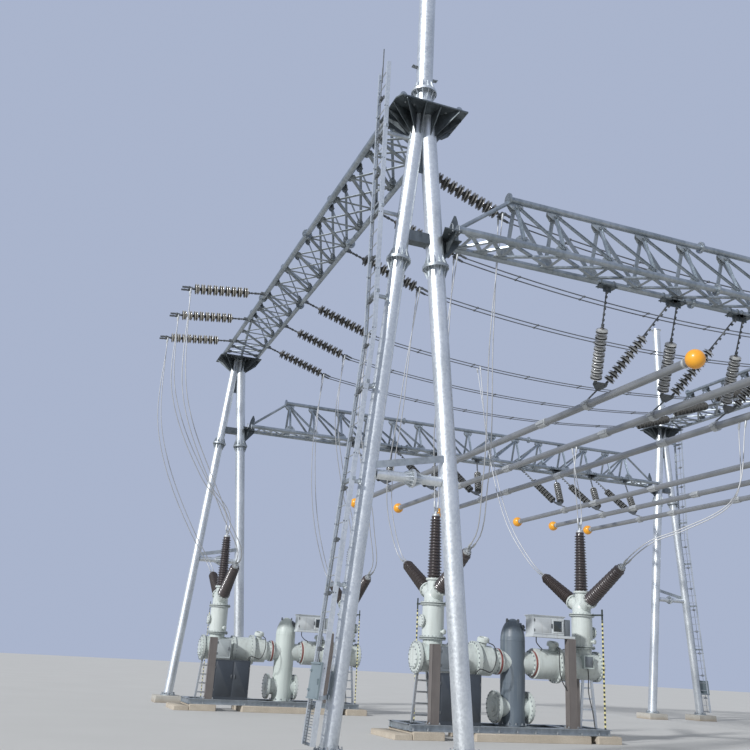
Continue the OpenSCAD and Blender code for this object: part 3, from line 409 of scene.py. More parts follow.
def round_bar(diameter, sides=8):
    """The outline of a round bar, as points on its circle."""
    a = 2 * np.pi * np.arange(sides) / sides
    return np.stack([np.cos(a), np.sin(a)], 1) * diameter / 2


def at_peaks(shapes):
    """Shapes drawn about a frame's middle, at the front left frame and, half turned, the rear right one."""
    front_left = moved(together(shapes), [-half_x, -half_y, 0])
    return [front_left, half_turned(front_left)]


lug_outline = [(-0.05, -0.006), (0.05, -0.006), (0.05, 0.006), (-0.05, 0.006)]
lugs = []
for s, z in ((-1, 13.62), (1, 13.40)):
    start = np.array([s * 0.170, 0, z])
    lugs += [swept(lug_outline, start + [[0, 0, 0], [s * 0.06, 0, 0], [s * 0.12, 0, 0.01]])]
    lugs += [placed(nuts(0.024, 0.024), [start + [s * 0.085, 0, 0]], z_axis, y_axis)]
piece("peak_lugs", dull_zinc, at_peaks(lugs))


# Access ladders. Two bent angle stiles with round rungs through them lean beside the thin leg and run past
# the head plate; a steel rope between them guides the safety catch, held by small cleats.
ladder_bend, ladder_top, ladder_out, ladder_half, ladder_lean = 7.5, 13.3, 0.905, 0.225, 0.0917
stile_heights = np.array([0.33, 2.0, 4.0, 6.0, ladder_bend, 9.0, 11.0, 13.37])


def ladder_x(z):
    """The ladder's distance from the frame's middle at a height: slanted below the bend, upright above."""
    return -ladder_out - np.maximum(ladder_bend - np.asarray(z, float), 0) * ladder_lean


def up_ladder(heights, back, aside):
    """Points up the ladder at those heights, set back from its rungs and aside from its middle."""
    return np.column_stack([ladder_x(heights) - back, np.full(len(heights), aside), heights])


def angle(wide, deep, thick):
    """The outline of an angle bar with its corner at 0."""
    return np.array([(0, deep), (0, 0), (wide, 0), (wide, thick), (thick, thick), (thick, deep)])


def box_of(x0, x1, y0, y1, z0, z1):
    """A plain block between two corners."""
    ring = np.array([(x0, y0), (x1, y0), (x1, y1), (x0, y1)], float)
    return rings_to_shape(np.stack([np.column_stack([ring, np.full(4, z)]) for z in (z0, z1)]))


def rods_across(heights, back, radius, sides):
    """Round rods from stile to stile at those heights."""
    rod = turned([(radius, 0), (radius, 2 * ladder_half)], sides)
    return placed(rod, up_ladder(heights, back, -ladder_half), y_axis)


# Painted shade: a still darker copy of the galvanised steel for the line beam bracing and the ladder's foot
# rods.
shaded_bar_zinc = zinc("galvanised_bar", (0.135, 0.16, 0.175), (0.34, 0.375, 0.40), 0.34, 26.0)
ladder_parts = []
for s in (-1, 1):
    stile = (angle(0.085, 0.045, 0.006) * [1, -s])[::-s]
    ladder_parts += [swept(stile, up_ladder(stile_heights, 0.035, s * (ladder_half + 0.025)), y_axis)]
    for z in (3.3, 6.6, 9.3, 12.3):
        x, y = ladder_x(z), s * ladder_half
        ladder_parts += [box_of(x - 0.031, x - 0.025, y - 0.022, y + 0.022, z - 0.14, z + 0.14)]
ladder_parts += [rods_across(np.arange(0.6, ladder_top, 0.3), 0.0, 0.012, 8)]
ladders = piece("ladders", bright_zinc, at_peaks(ladder_parts))
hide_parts("access_ladders")

rope = [swept(round_bar(0.016, 6), up_ladder(stile_heights, 0.045, 0.0), y_axis)]
for z in np.arange(0.9, ladder_top, 0.9):
    x = ladder_x(z)
    rope += [box_of(x - 0.066, x - 0.010, -0.05, 0.05, z - 0.035, z + 0.035)]
    rope += [box_of(x - 0.034, x - 0.022, -0.14, 0.14, z - 0.015, z + 0.015)]
for z in np.arange(1.5, ladder_top, 1.2):
    for s in (-1, 1):
        spot = [ladder_x(z) - 0.012, s * (ladder_half + 0.012), z]
        rope += [placed(nuts(0.03, 0.028), [spot], x_axis, y_axis)]
rope += [swept(round_bar(0.024), up_ladder(np.array([13.0, 13.5, 13.83]), 0.035, 0.0), y_axis)]
dark_tones = (0.07, 0.078, 0.085), (0.22, 0.235, 0.245)
dark_fitting = two_tone("dark_fitting", *dark_tones, 22.0, 4.0, 0.42, 0.25, Metallic=0.55)
piece("catch_rails", dark_fitting, at_peaks(rope))


# Guard doors. A flat sheet steel door in grey-blue paint is hinged across the foot of each ladder, with
# rolled edges, two hinges on one stile and a hasp on the other. Below it thin rods close the ladder's foot.
door_tones = (0.145, 0.19, 0.215), (0.225, 0.28, 0.305)
door_paint = two_tone("door_paint", *door_tones, 4.0, 5.0, 0.40, 0.2, Coat_Weight=0.15, Coat_Roughness=0.4)
dress(door_paint, "ladder_doors")
door_lean = (ladder_lean, 0, 1)
door = []
for z in (1.035, 1.575):
    edge = box_of(-0.018, 0.018, -0.25, 0.25, -0.012, 0.012)
    door += [placed(edge, [[ladder_x(z) - 0.062, 0, z]], door_lean, y_axis)]
for z in (1.16, 1.46):
    hinge = box_of(-0.05, 0.02, -0.012, 0.012, -0.016, 0.016)
    door += [placed(hinge, [[ladder_x(z) - 0.066, 0.20, z]], door_lean, x_axis)]
door += [box_of(ladder_x(1.3) - 0.085, ladder_x(1.3) - 0.055, -0.25, -0.20, 1.26, 1.34)]
piece("guard_door_trim", door_paint, at_peaks(door))

sill = 0.345
foot_parts = [rods_across(np.arange(0.37, 1.0, 0.045), 0.010, 0.005, 6)]
x = ladder_x(sill)
foot_parts += [box_of(x - 0.030, x + 0.045, -ladder_half, ladder_half, 0.332, 0.356)]
piece("ladder_foot_rods", shaded_bar_zinc, at_peaks(foot_parts))


# Lattice beams. Each beam is three chords with bolted angle and channel bracing: upright angles and
# sloping channels on the two sides, crossed angles in the floor, all bolted to gusset plates on the chords.
chord_r = 0.070
angle_bar = angle(0.076, 0.040, 0.007) - [0.038, 0.018]
channel_bar = np.array([(0, 0.036), (0, 0), (0.076, 0), (0.076, 0.036), (0.069, 0.036), (0.069, 0.006),
                        (0.007, 0.006), (0.007, 0.036)]) - [0.038, 0.018]
side_gusset = [(-0.18, 0.0), (0.18, 0.0), (0.18, 0.085), (0.08, 0.190), (-0.08, 0.190), (-0.18, 0.085)]
floor_gusset = [(-0.16, 0), (0.16, 0), (0.16, 0.07), (0.06, 0.14), (-0.06, 0.14), (-0.16, 0.07)]
beam_bolt = nuts(0.030, 0.024, 0.3)


def bars(outline, starts, ends, up):
    """Straight bars of one outline from each start to its end, the outline's first axis square to up."""
    starts, ends = np.array(starts, float), np.array(ends, float)
    rings = [np.column_stack([outline, np.full(len(outline), z)]) for z in (0.0, 1.0)]
    return placed(rings_to_shape(np.stack(rings)), starts, ends - starts, up)


def plates(rings):
    """Six-cornered plates from their two outlines each (count, 2, 6, 3)."""
    return [rings_to_shape(ring) for ring in rings]


def beam_side(s, half, rise, level, u):
    """One side of a beam: posts at every u, channels that fall toward the middle, gussets and bolts."""
    slope = np.hypot(half, rise)
    post_foot, bar_end, channel_out = 0.13, 0.15, 0.012

    def on(run, v, w=0.0):
        """A point of the side: along the beam, v up its slope from the bottom chord, w out of its face."""
        run, v = np.broadcast_arrays(np.asarray(run, float), v)
        y, z = s * (half - half * v / slope + rise * w / slope), level + rise * v / slope + half * w / slope
        return np.stack([run, y, z], -1)

    face, upslope = np.array([0, s * rise, half]) / slope, np.array([0, -s * half, rise]) / slope
    steel = [bars(angle_bar, on(u, post_foot), on(u, slope - bar_end), face)]
    middle = len(u) // 2
    for high, low in ((u[middle + 1:], u[middle:-1]), (u[:middle], u[1:middle + 1])):
        starts, ends = on(high, slope - bar_end, channel_out), on(low, bar_end, channel_out)
        steel += [bars(channel_bar, starts, ends, face)]
    gussets, bolts = [], []
    for chord_v, sign in ((chord_r + 0.0005, 1), (slope - chord_r - 0.0005, -1)):
        corners = [(a, sign * b) for a, b in side_gusset][::-1 if sign * s > 0 else 1]
        ring = [on(u + a, chord_v + b, w) for w in (-0.024, -0.012) for a, b in corners]
        gussets += plates(np.stack(ring, 1).reshape(len(u), 2, 6, 3))
    for bolt_v in (0.155, 0.195, slope - 0.155, slope - 0.195):
        for off in (0.0, 0.075, -0.075):
            dip = 0.03 * np.sign(bolt_v - 0.5) if off else 0.0
            bolts += [placed(beam_bolt, on(u + off, bolt_v - dip, -0.008), face, upslope)]
    return steel, gussets, bolts


def beam_floor(half, level, stations):
    """The cross angles, sloping angles, gussets and bolts of a beam's floor, from station to station."""
    edge = half - chord_r

    def on(run, y, z=0.0):
        """A point of the floor: along the beam, across it and above the chords' level."""
        return np.stack([run, y + 0 * run, level + z + 0 * run], -1)

    steel = [bars(angle_bar, on(stations, 0.02 - edge), on(stations, edge - 0.02), z_axis)]
    gussets, bolts = [], []
    for s in (-1, 1):
        starts = on(stations[:-1], -s * (edge - 0.06), 0.008 * s)
        ends = on(stations[1:], s * (edge - 0.06), 0.008 * s)
        steel += [bars(angle_bar, starts, ends, z_axis)]
        corners = floor_gusset[::-s]
        ring = [on(stations + a, s * (edge - b), z) for z in (-0.012, 0.0) for a, b in corners]
        gussets += plates(np.stack(ring, 1).reshape(len(stations), 2, 6, 3))
        for off in (-0.08, 0.0, 0.08):
            inset = 0.05 if off else 0.08
            bolts += [placed(beam_bolt, on(stations + off, s * (edge - inset)), z_axis, x_axis)]
    return steel, gussets, bolts


def truss(half, rise, level, panels, length, floor_end, joints):
    """Every bar, gusset and bolt of one beam along x, worked out from its panel count."""
    end_inset = 0.18
    n = np.arange(-panels // 2, panels // 2 + 1)
    knots = n * (length / panels)
    u = knots - np.where(abs(n) == panels // 2, np.sign(n) * end_inset, 0.0)
    mid = (length / 2 + floor_end) / 2
    stations = np.concatenate([[-floor_end, -mid], knots, [mid, floor_end]])
    sides = [beam_side(s, half, rise, level, u) for s in (-1, 1)] + [beam_floor(half, level, stations)]
    steel, gussets, bolts = [sum(kind, []) for kind in zip(*sides)]
    for x in joints:
        for y, z in ((-half, level), (half, level), (0, level + rise)):
            bolts += [flange(8, chord_r + 0.036, 22.5, (x, y, z), x_axis, 0.040, 0.030)]
    return steel, gussets, bolts


def over_frames(shapes):
    """A line beam's shapes turned to run along y over the left frames, and the same half turned."""
    points, faces = together(shapes)
    here = np.stack([-points[:, 1] - half_x, points[:, 0], points[:, 2]], 1), faces
    return [here, half_turned(here)]


def across_bay(shapes):
    """A bus beam's shapes over the front frames, and the same half turned."""
    here = moved(together(shapes), [0, -half_y, 0])
    return [here, half_turned(here)]


line_parts = truss(0.620, 1.200, 12.5203, 12, 13.7, 8.08, (-2.45, 2.45))
bus_parts = truss(0.410, 1.210, 9.810, 14, 15.8, 8.85, (-2.9, 2.9))
for which, beams, set_up, parts, bar_finish, gusset_finish in (
        ("line", ("left_beam", "right_beam"), over_frames, line_parts, shaded_bar_zinc, shaded_zinc),
        ("bus", ("front_beam", "rear_beam"), across_bay, bus_parts, shaded_beam_zinc, dull_zinc)):
    bracing = piece(which + "_beam_bracing", bar_finish, set_up(parts[0]))
    lattices = ("_outer_side", "_inner_side", "_floor")
    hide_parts(*[beam + lattice for beam in beams for lattice in lattices])
    piece(which + "_beam_gussets", gusset_finish, set_up(parts[1]))
    piece(which + "_beam_bolts", bolt_steel, set_up(parts[2]))


# Disc insulators. Each disc is fired clay cemented into an iron cap; the pin of one hangs in the cap of the
# next, nine to a string. The glaze is cream on the strings that pull outward and dark brown on those over the
# bay. The disc's underside is painted shade: a near-black finish with no coat.
line_disc, line_pitch, string_discs, disc_rings, disc_sides = 0.340, 0.190, 9, 14, 16
line_ys, string_z, string_out, line_first = np.array([6.85, 4.45, 2.05]), 12.4803, 0.74, 0.40
falls = {1: np.radians(18.0), -1: np.radians(7.0)}


def disc(diameter, pitch):
    """A disc on z, cap first: a steep upper shed, a waist, a lower shed, a hollow with one rib."""
    d, p = diameter, pitch
    upper = [(0.046, 0.22 * p), (0.20 * d, 0.27 * p), (0.44 * d, 0.41 * p), (0.49 * d, 0.49 * p)]
    waist = [(0.475 * d, 0.53 * p), (0.27 * d, 0.55 * p), (0.30 * d, 0.64 * p)]
    lower = [(0.46 * d, 0.79 * p), (0.5 * d, 0.87 * p), (0.48 * d, 0.92 * p)]
    hollow = [(0.33 * d, 0.80 * p), (0.28 * d, 0.92 * p), (0.20 * d, 0.76 * p), (0.03, 0.84 * p)]
    return turned(upper + waist + lower + hollow, disc_sides)


def cap_and_pin(pitch):
    """The iron cap above a disc and the pin below it."""
    p = pitch
    cap = turned([(0.028, 0.0), (0.044, 0.012), (0.052, 0.05), (0.054, 0.36 * p), (0.030, 0.42 * p)], 10)
    return together([cap, turned([(0.014, 0.74 * p), (0.014, p + 0.01)], 6)])


def fired_clay(name, colour, rough=0.22, coat=0.5):
    """Glazed clay, streaked with dust in clouds and specked with soil; with no coat, painted shade."""
    material, place = new_finish(name, Coat_Weight=coat, Coat_Roughness=0.1, Specular_IOR_Level=0.6)
    dust, speck = noise(place, 7.0, 6.0), noise(place, 70.0, 3.0)
    aged = mix(dust, [0.72 * part for part in colour], colour)
    set_finish(material, Base_Color=mix((speck > 0.64) * 0.5, aged, (0.20, 0.17, 0.13)))
    set_finish(material, Roughness=rough + 0.3 * dust)
    return material


def band_of_faces(rings, sides):
    """The number of each face's band on a turned shape; an end strip counts with the band beside it."""
    strip = sides // 2 - 1
    bands = np.repeat(np.arange(rings - 1), sides)
    return np.concatenate([np.zeros(strip, int), bands, np.full(strip, rings - 2)])


def give_finishes(made, finishes, choice):
    """Adds further finishes to a piece and gives every face the one whose number is chosen for it."""
    for finish in finishes:
        made.data.materials.append(finish)
    made.data.polygons.foreach_set("material_index", choice.astype(np.int32))


def along_strings(starts, runs, first, step, count):
    """Points and directions at even steps down every string."""
    reach = first + step * np.arange(count)
    points = starts[:, None] + runs[:, None] * reach[None, :, None]
    return points.reshape(-1, 3), np.repeat(runs, count, axis=0)


line_starts, line_runs = [], []
for s, ys in ((1, np.concatenate([line_ys, -line_ys])), (-1, line_ys)):
    line_starts += [[s * string_out - half_x, y, string_z] for y in ys]
    line_runs += [[s * np.cos(falls[s]), 0, -np.sin(falls[s])]] * len(ys)
line_starts = np.concatenate([line_starts, np.array(line_starts) * half_turn])
line_runs = np.concatenate([line_runs, np.array(line_runs) * half_turn])

disc_bands = band_of_faces(disc_rings, disc_sides)
cream_top = fired_clay("cream_glaze_top", (0.66, 0.63, 0.56))
disc_painted_shade = fired_clay("cream_glaze_painted_shade", (0.085, 0.085, 0.082), 0.6, 0.0)
brown_top = fired_clay("brown_glaze_top", (0.115, 0.115, 0.112))
spots, headings = along_strings(line_starts, line_runs, line_first, line_pitch, string_discs)
line_shapes = [placed(disc(line_disc, line_pitch), spots, headings, y_axis)]
line_discs = piece("line_discs", cream_top, line_shapes, 50)
# Painted shade: the undersides of the two sheds and the hollow below take the near-black finish.
painted_shade_bands = np.isin(disc_bands, (4, 9, 10, 11, 12))
brown_disc, cream_disc = np.where(painted_shade_bands, 1, 2), np.where(painted_shade_bands, 1, 0)
over_bay, outward = np.tile(brown_disc, 6 * string_discs), np.tile(cream_disc, 3 * string_discs)
give_finishes(line_discs, (disc_painted_shade, brown_top), np.tile(np.concatenate([over_bay, outward]), 2))
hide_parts("line_insulators")
iron_tones = (0.075, 0.07, 0.068), (0.21, 0.205, 0.20)
iron = two_tone("cap_iron", *iron_tones, 16.0, 5.0, 0.45, 0.25, Metallic=0.5)
piece("line_caps", iron, [placed(cap_and_pin(line_pitch), spots, headings, y_axis)], 50)


# String fittings. A shackle at the beam, an eye link and a turnbuckle carry the string; at the live end a
# fork plate holds two pressed barrels, one for each wire of the pair. All are forged and weathered dark.
def knuckle(size):
    """A forged eye on z: two collars with a waist between them."""
    lower = [(0.5 * size, -size), (size, -0.75 * size), (size, -0.25 * size)]
    return turned(lower + [(0.6 * size, 0)] + [(r, -z) for r, z in lower[::-1]], 10)


wire_half, fork_reach, fork_half = 0.11, 2.245, 0.014
line_links = []
for reach, size in ((0.035, 0.040), (0.125, 0.034), (0.215, 0.040), (0.33, 0.034), (2.13, 0.042)):
    line_links += [placed(knuckle(size), line_starts + reach * line_runs, line_runs, y_axis)]
fork_collar = turned([(0.034, 0.0), (0.041, 0.01), (0.041, 0.05), (0.034, 0.06)], 10)
barrel_end = turned([(0.032, 0.0), (0.036, 0.02), (0.022, 0.10), (0.0175, 0.11)], 10)
for s in (-1, 1):
    for shape, reach in ((fork_collar, 2.27), (barrel_end, 2.395)):
        spots = line_starts + reach * line_runs + s * wire_half * y_axis
        line_links += [placed(shape, spots, line_runs, y_axis)]
    spots = line_starts + fork_reach * line_runs + 0.6 * s * wire_half * y_axis
    line_links += [placed(nuts(0.030, 0.030), spots, np.cross(line_runs, y_axis), y_axis)]
dress(dark_fitting, "line_string_links", "bus_string_links")
piece("line_fittings", dark_fitting, line_links, 45)


# Tube hangers. Over each tube two strings of grey discs lean together from the beam's chord to a yoke plate,
# whose short link drops to the tube's clamp.
bus_disc, bus_pitch = 0.280, 0.146
tube_xs = -half_x + np.concatenate([5.54 + 1.88 * np.arange(3), 12.98 + 1.77 * np.arange(3)])
hanger_y, hanger_out, hanger_top, chord_level = 0.410, 0.835, 9.6197, 9.81
yoke_y, yoke_level = 2.035, 7.99
arm = np.array([0.705, 1.540, 8.040 - hanger_top])
arm_len = np.linalg.norm(arm)
first_disc = arm_len - string_discs * bus_pitch - 0.130
mirror = [1, -1, 1]


def mirrored(shape):
    """A shape's mirror image on the other side of y = 0, with its faces turned back outward."""
    return shape[0] * mirror, shape[1][:, ::-1]


def hoop_at(x, y):
    """A U bolt over a bus beam's chord: half a circle, with its ends straight down below the chord."""
    r, end = 0.082, chord_level - 0.12
    arch = [[x, y + r * np.cos(a), chord_level + r * np.sin(a)] for a in np.linspace(0, np.pi, 9)]
    return swept(round_bar(0.018, 6), [[x, y + r, end]] + arch + [[x, y - r, end]], x_axis)


arm_xs = [x + s * hanger_out for x in tube_xs for s in (-1, 1)]
arm_starts = np.array([[x, hanger_y - half_y, hanger_top] for x in arm_xs])
arm_runs = np.array([arm * [-s, 1, 1] / arm_len for x in tube_xs for s in (-1, 1)])
arm_starts = np.concatenate([arm_starts, arm_starts * mirror])
arm_runs = np.concatenate([arm_runs, arm_runs * mirror])
grey_top = fired_clay("grey_glaze_top", (0.52, 0.53, 0.53))
bus_disc_painted_shade = fired_clay("grey_glaze_painted_shade", (0.075, 0.08, 0.082), 0.6, 0.0)
spots, headings = along_strings(arm_starts, arm_runs, first_disc, bus_pitch, string_discs)
bus_shapes = [placed(disc(bus_disc, bus_pitch), spots, headings)]
bus_discs = piece("bus_discs", grey_top, bus_shapes, 50)
# Painted shade: besides the undersides and the hollow, the waist and the lower shed's upper slope, shaded by
# the shed above, take the near-black finish.
painted_shade_bands = np.isin(disc_bands, (4, 5, 6, 9, 10, 11, 12))
give_finishes(bus_discs, [bus_disc_painted_shade], np.tile(painted_shade_bands, len(spots)))
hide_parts("bus_insulators")
piece("bus_caps", iron, [placed(cap_and_pin(bus_pitch), spots, headings)], 50)

hanger_links = []
for reach, size in ((0.02, 0.034), (0.13, 0.030), (0.27, 0.030), (0.41, 0.030), (0.55, 0.030), (0.69, 0.030),
                    (0.82, 0.038), (first_disc + 1.37, 0.034)):
    hanger_links += [placed(knuckle(size), arm_starts + reach * arm_runs, arm_runs)]
yokes = np.array([[x, yoke_y - half_y, yoke_level] for x in tube_xs])
for hole in ([-0.13, -0.085, 0.05], [0.0, -0.005, -0.03], [0.13, -0.085, 0.05]):
    bolts = placed(nuts(0.022, 0.028), yokes + hole, (0, 0.72, 0.70), x_axis)
    hanger_links += [bolts, mirrored(bolts)]
piece("hanger_fittings", dark_fitting, hanger_links, 45)

grips = []
for x, y, z in arm_starts:
    grips += [box_of(x - 0.22, x + 0.22, y - 0.105, y + 0.105, 9.720, 9.736)]
    grips += [box_of(x - 0.10, x + 0.10, y - 0.007, y + 0.007, 9.605, 9.720)]
    grips += [hoop_at(x + dx, y) for dx in (-0.17, 0.17)]
piece("hanger_plates", shaded_zinc, grips)


# Busbars. Six drawn aluminium tubes lie across the bay in two sets of three, each closed at both ends by a
# ball painted orange-yellow and joined along its length by bolted sleeves.
tube_level, tube_r = 7.680, 0.090
aluminium, place = new_finish("drawn_aluminium", Metallic=0.65)
haze, scratch = noise(place, 2.2, 5.0), noise(place, 14.0, 4.0, (1, 0.03, 1))
tone = mix(haze, (0.20, 0.21, 0.22), (0.37, 0.385, 0.40))
set_finish(aluminium, Base_Color=mix(0.35 * scratch, tone, (0.50, 0.515, 0.53)))
set_finish(aluminium, Roughness=0.34 + 0.2 * haze, Normal=bump(scratch, 0.0008, 0.3))
cast_aluminium, place = new_finish("cast_aluminium", Metallic=0.6)
sand_skin = noise(place, 40.0, 4.0)
set_finish(cast_aluminium, Base_Color=mix(sand_skin, (0.40, 0.42, 0.43), (0.66, 0.68, 0.69)))
set_finish(cast_aluminium, Roughness=0.42 + 0.2 * sand_skin, Normal=bump(sand_skin, 0.002, 0.4))
orange_tones = (0.80, 0.30, 0.012), (0.95, 0.47, 0.03)
orange = two_tone("orange_paint", *orange_tones, 5.0, 5.0, 0.30, 0.2, Coat_Weight=0.4, Coat_Roughness=0.15)
dress(aluminium, "bus_tubes")
dress(cast_aluminium, "bus_tube_clamps")
dress(orange, "bus_end_balls")


def collar(radius, thick, length):
    """A sleeve round a tube on z with soft ends: a closed ring whose inside lies on the tube."""
    r, t, h = radius, thick, length / 2
    ring = [(r, -h), (r + t * 0.6, -h), (r + t, -h + t * 0.6), (r + t, h - t * 0.6), (r + t * 0.6, h), (r, h)]
    return turned(ring, 24)


sleeves = []
for y in (-9.70, -4.3, 0.9, 4.3, 9.70):
    spots = np.array([[x, y, tube_level] for x in tube_xs])
    if abs(y) > 9:
        sleeves += [placed(collar(tube_r, 0.014, 0.06), spots, y_axis)]
        continue
    sleeves += [placed(collar(tube_r, 0.020, 0.34), spots, y_axis)]
    ear = box_of(-0.035, 0.035, -0.165, 0.165, 0.0, 0.026)
    sleeves += [placed(ear, spots + s * (tube_r + 0.018) * x_axis, s * x_axis, y_axis) for s in (-1, 1)]
    for dy in (-0.12, -0.04, 0.04, 0.12):
        beside = [spots + [s * (tube_r + 0.030), dy, 0] for s in (-1, 1)]
        sleeves += [placed(nuts(0.052, 0.020), spot, z_axis, x_axis) for spot in beside]
piece("tube_sleeves", cast_aluminium, sleeves)

clamp_bolts = []
for x in tube_xs:
    for dx in (-0.148, 0.148):
        for dy in (-0.045, 0.045):
            bolts = placed(nuts(0.052, 0.026), [[x + dx, -6.30 + dy, tube_level]], z_axis, x_axis)
            clamp_bolts += [bolts, mirrored(bolts)]
piece("hanger_clamp_bolts", bolt_steel, clamp_bolts)


# Seat and head fixings. The bus beams' chords are held down on their seats by U bolts, and the line beams'
# chords are bolted to the head plates.
clips = []
for y in (-hanger_y, hanger_y):
    for x in (0.52, 0.66):
        clips += [hoop_at(x, y)]
        clips += [placed(nuts(0.026, 0.030), [[x, y + dy, 9.724] for dy in (-0.082, 0.082)], z_axis, x_axis)]
for x in (-0.55, -0.35, 0.35, 0.55):
    for y in (-0.36, 0.36):
        clips += [placed(nuts(0.032, 0.034), [[x, y, 12.435]], z_axis, x_axis)]
piece("seat_fixings", bolt_steel, at_frames(clips))


# Module plinths. Each module stands on blocks of cast concrete, beige with blown dust, with a lower block
# beyond its left end.
module_places = np.array([[-half_x + 3.3, -half_y + 6.0, 0], [-half_x - 0.4, -half_y + 14.2, 0]])
tee_x = (0.0, 4.3)


def at_modules(shapes):
    """Shapes drawn from a module's first tee, at both switchgear modules."""
    return [moved(together(shapes), foot) for foot in module_places]


dusty, place = new_finish("dusty_concrete", Roughness=0.92)
pits, grit, cloud = pores(place, 60.0), noise(place, 80.0, 4.0), noise(place, 3.0, 6.0)
sand = mix(cloud, (0.40, 0.345, 0.275), (0.66, 0.60, 0.51))
set_finish(dusty, Base_Color=mix((pits > 0.45) * 0.3, sand, (0.28, 0.24, 0.19)))
set_finish(dusty, Normal=bump(grit + pits, 0.005))
blocks = []
for x0, x1, h in ((-0.76, 0.05, 0.18), (-1.22, -0.761, 0.13), (0.84, 4.01, 0.18), (4.20, 4.90, 0.18)):
    blocks += [pad(x0, x1, -0.76, 0.76, 0, h, 0.022)]
plinths = piece("plinths", dusty, at_modules(blocks))
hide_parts("module_plinths")


# Base frames. Rolled steel beams, galvanised and dulled by dust, are welded into one frame, with anchor bolts
# through their lower flanges into the concrete.
base_foot, base_top = 0.18, 0.3302
beam_wide, rail_y, cross_end = 0.2, 0.7, 0.6
beam_outline = np.array([(0, 0), (0, 0.014), (-0.088, 0.018), (-0.088, 0.132), (0, 0.136), (0, 0.15),
                         (-0.2, 0.15), (-0.2, 0.136), (-0.112, 0.132), (-0.112, 0.018), (-0.2, 0.014),
                         (-0.2, 0)])
frame_parts, frame_studs = [], []
for s in (-1, 1):
    y, z = (beam_outline[::s] * [s, 1] + [s * rail_y, base_foot]).T
    frame_parts += [rings_to_shape(np.stack([np.column_stack([np.full(12, x), y, z]) for x in (-0.8, 4.65)]))]
    for x in (-0.72, -0.35, 0.95, 1.5, 2.0, 2.5, 3.1, 3.8, 4.3, 4.58):
        frame_studs += [placed(stud, [[x, s * 0.662, 0.199]], 0.7 * z_axis, x_axis)]
for start, wide in ((-0.8, 0.12), (-0.31, 0.2), (0.81, 0.2), (1.98, 0.2), (2.38, 0.2), (3.43, 0.2),
                    (3.95, 0.2), (4.53, 0.12)):
    x, z = (beam_outline[::-1] * [wide / beam_wide, 1] + [start + wide, base_foot]).T
    ring = np.stack([np.column_stack([x, np.full(12, y), z]) for y in (-cross_end, cross_end)])
    frame_parts += [rings_to_shape(ring)]
base_frames = piece("base_frames", dull_zinc, at_modules(frame_parts))
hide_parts("module_base_frames")


# Posts. Square welded posts in brown-grey paint carry the cabinet's shelf and the drive boxes; each has a
# foot plate with four bolts and stiffeners.
post_y, plate_top_z = -0.60, 0.348
post_paint, place = new_finish("post_paint", Coat_Weight=0.15, Coat_Roughness=0.4)
chalk, drip = noise(place, 4.0, 5.0), noise(place, 12.0, 5.0, (1, 1, 0.08))
brown = mix(chalk, (0.085, 0.075, 0.073), (0.16, 0.145, 0.14))
set_finish(post_paint, Base_Color=mix(0.5 * drip, brown, (0.24, 0.215, 0.20)), Roughness=0.5 + 0.2 * chalk)
dress(post_paint, "module_posts")
post_trim, post_studs = [], []
for x, top in ((-0.20, 2.12), (3.54, 2.44)):
    post_trim += [box_of(x - 0.15, x + 0.15, -0.70, -0.50, base_top, plate_top_z)]
    for s in (-1, 1):
        inside, outside = x + s * 0.106, x + s * 0.145
        fin = np.array([[inside, post_y, plate_top_z], [outside, post_y, plate_top_z],
                        [outside, post_y, 0.37], [inside, post_y, 0.46]])[::-s]
        post_trim += [rings_to_shape(np.stack([fin + [0, -0.006, 0], fin + [0, 0.006, 0]]))]
        spots = [[x + s * 0.128, y, plate_top_z] for y in (-0.68, -0.52)]
        post_studs += [placed(stud, spots, 0.5 * z_axis, x_axis)]
        weld = [[x + s * 0.104, -0.691, z] for z in np.linspace(0.36, top - 0.02, 4)]
        post_trim += [swept(round_bar(0.012, 6), weld, x_axis)]
    post_trim += [box_of(x - 0.108, x + 0.108, -0.693, -0.507, top - 0.022, top)]
piece("post_trim", post_paint, at_modules(post_trim))
piece("frame_studs", bolt_steel, at_modules(frame_studs + post_studs))


# Gas tanks. Cast and rolled aluminium housings in pale grey-green paint are joined by flanges with rings of
# bolts; a red band marks each gas barrier, and each hand hole on top has a thick rolled ring.
def paint(name, dark, light, stain, rough, coat=0.3):
    """A painted shell: clouds of fading between two tones, runs of washed dust, a fine orange-peel skin."""
    material, place = new_finish(name, Coat_Weight=coat, Coat_Roughness=0.25)
    cloud, run = noise(place, 1.6, 5.0), noise(place, 11.0, 6.0, (1, 1, 0.10))
    soil = spread(run, 0.50, 0.78, 0.0, 0.55)
    set_finish(material, Base_Color=mix(soil, mix(cloud, dark, light), stain), Roughness=rough + 0.2 * run)
    set_finish(material, Normal=bump(noise(place, 110.0, 2.0), 0.0006, 0.3))
    return material


tank_z, barriers = 1.810, (1.775, 2.765)
tank_paint = paint("tank_paint", (0.47, 0.525, 0.505), (0.67, 0.715, 0.695), (0.36, 0.375, 0.35), 0.28)
dress(tank_paint, "gas_tanks", "risers", "breaker_drums")
tank_bolts = []
tank_joints = [(-0.4245, 0.76, 0.072), (0.525, 0.81, 0.092), (1.125, 0.91, 0.092), (3.465, 0.91, 0.092),
               (3.805, 0.81, 0.092), (4.6855, 0.76, 0.072)] + [(x, 0.63, 0.112) for x in barriers]
for x, across, grip in tank_joints:
    count = 24 if across > 0.7 else 16
    tank_bolts += [flange(count, across / 2 - 0.028, 7.5, (x, 0, tank_z), x_axis, grip, 0.034)]
for x, s in ((-0.51, -1), (4.771, 1)):
    tank_bolts += [flange(12, 0.235, 15, (x - s * 0.012, 0, tank_z), s * x_axis, 0.026, 0.028)]
hand_tip = np.radians(14)
hand_up = np.array([0, -np.sin(hand_tip), np.cos(hand_tip)])
ring_profile = [(0.154, 0.509), (0.148, 0.548), (0.12, 0.572), (0.092, 0.570), (0.074, 0.545), (0.072, 0.514)]
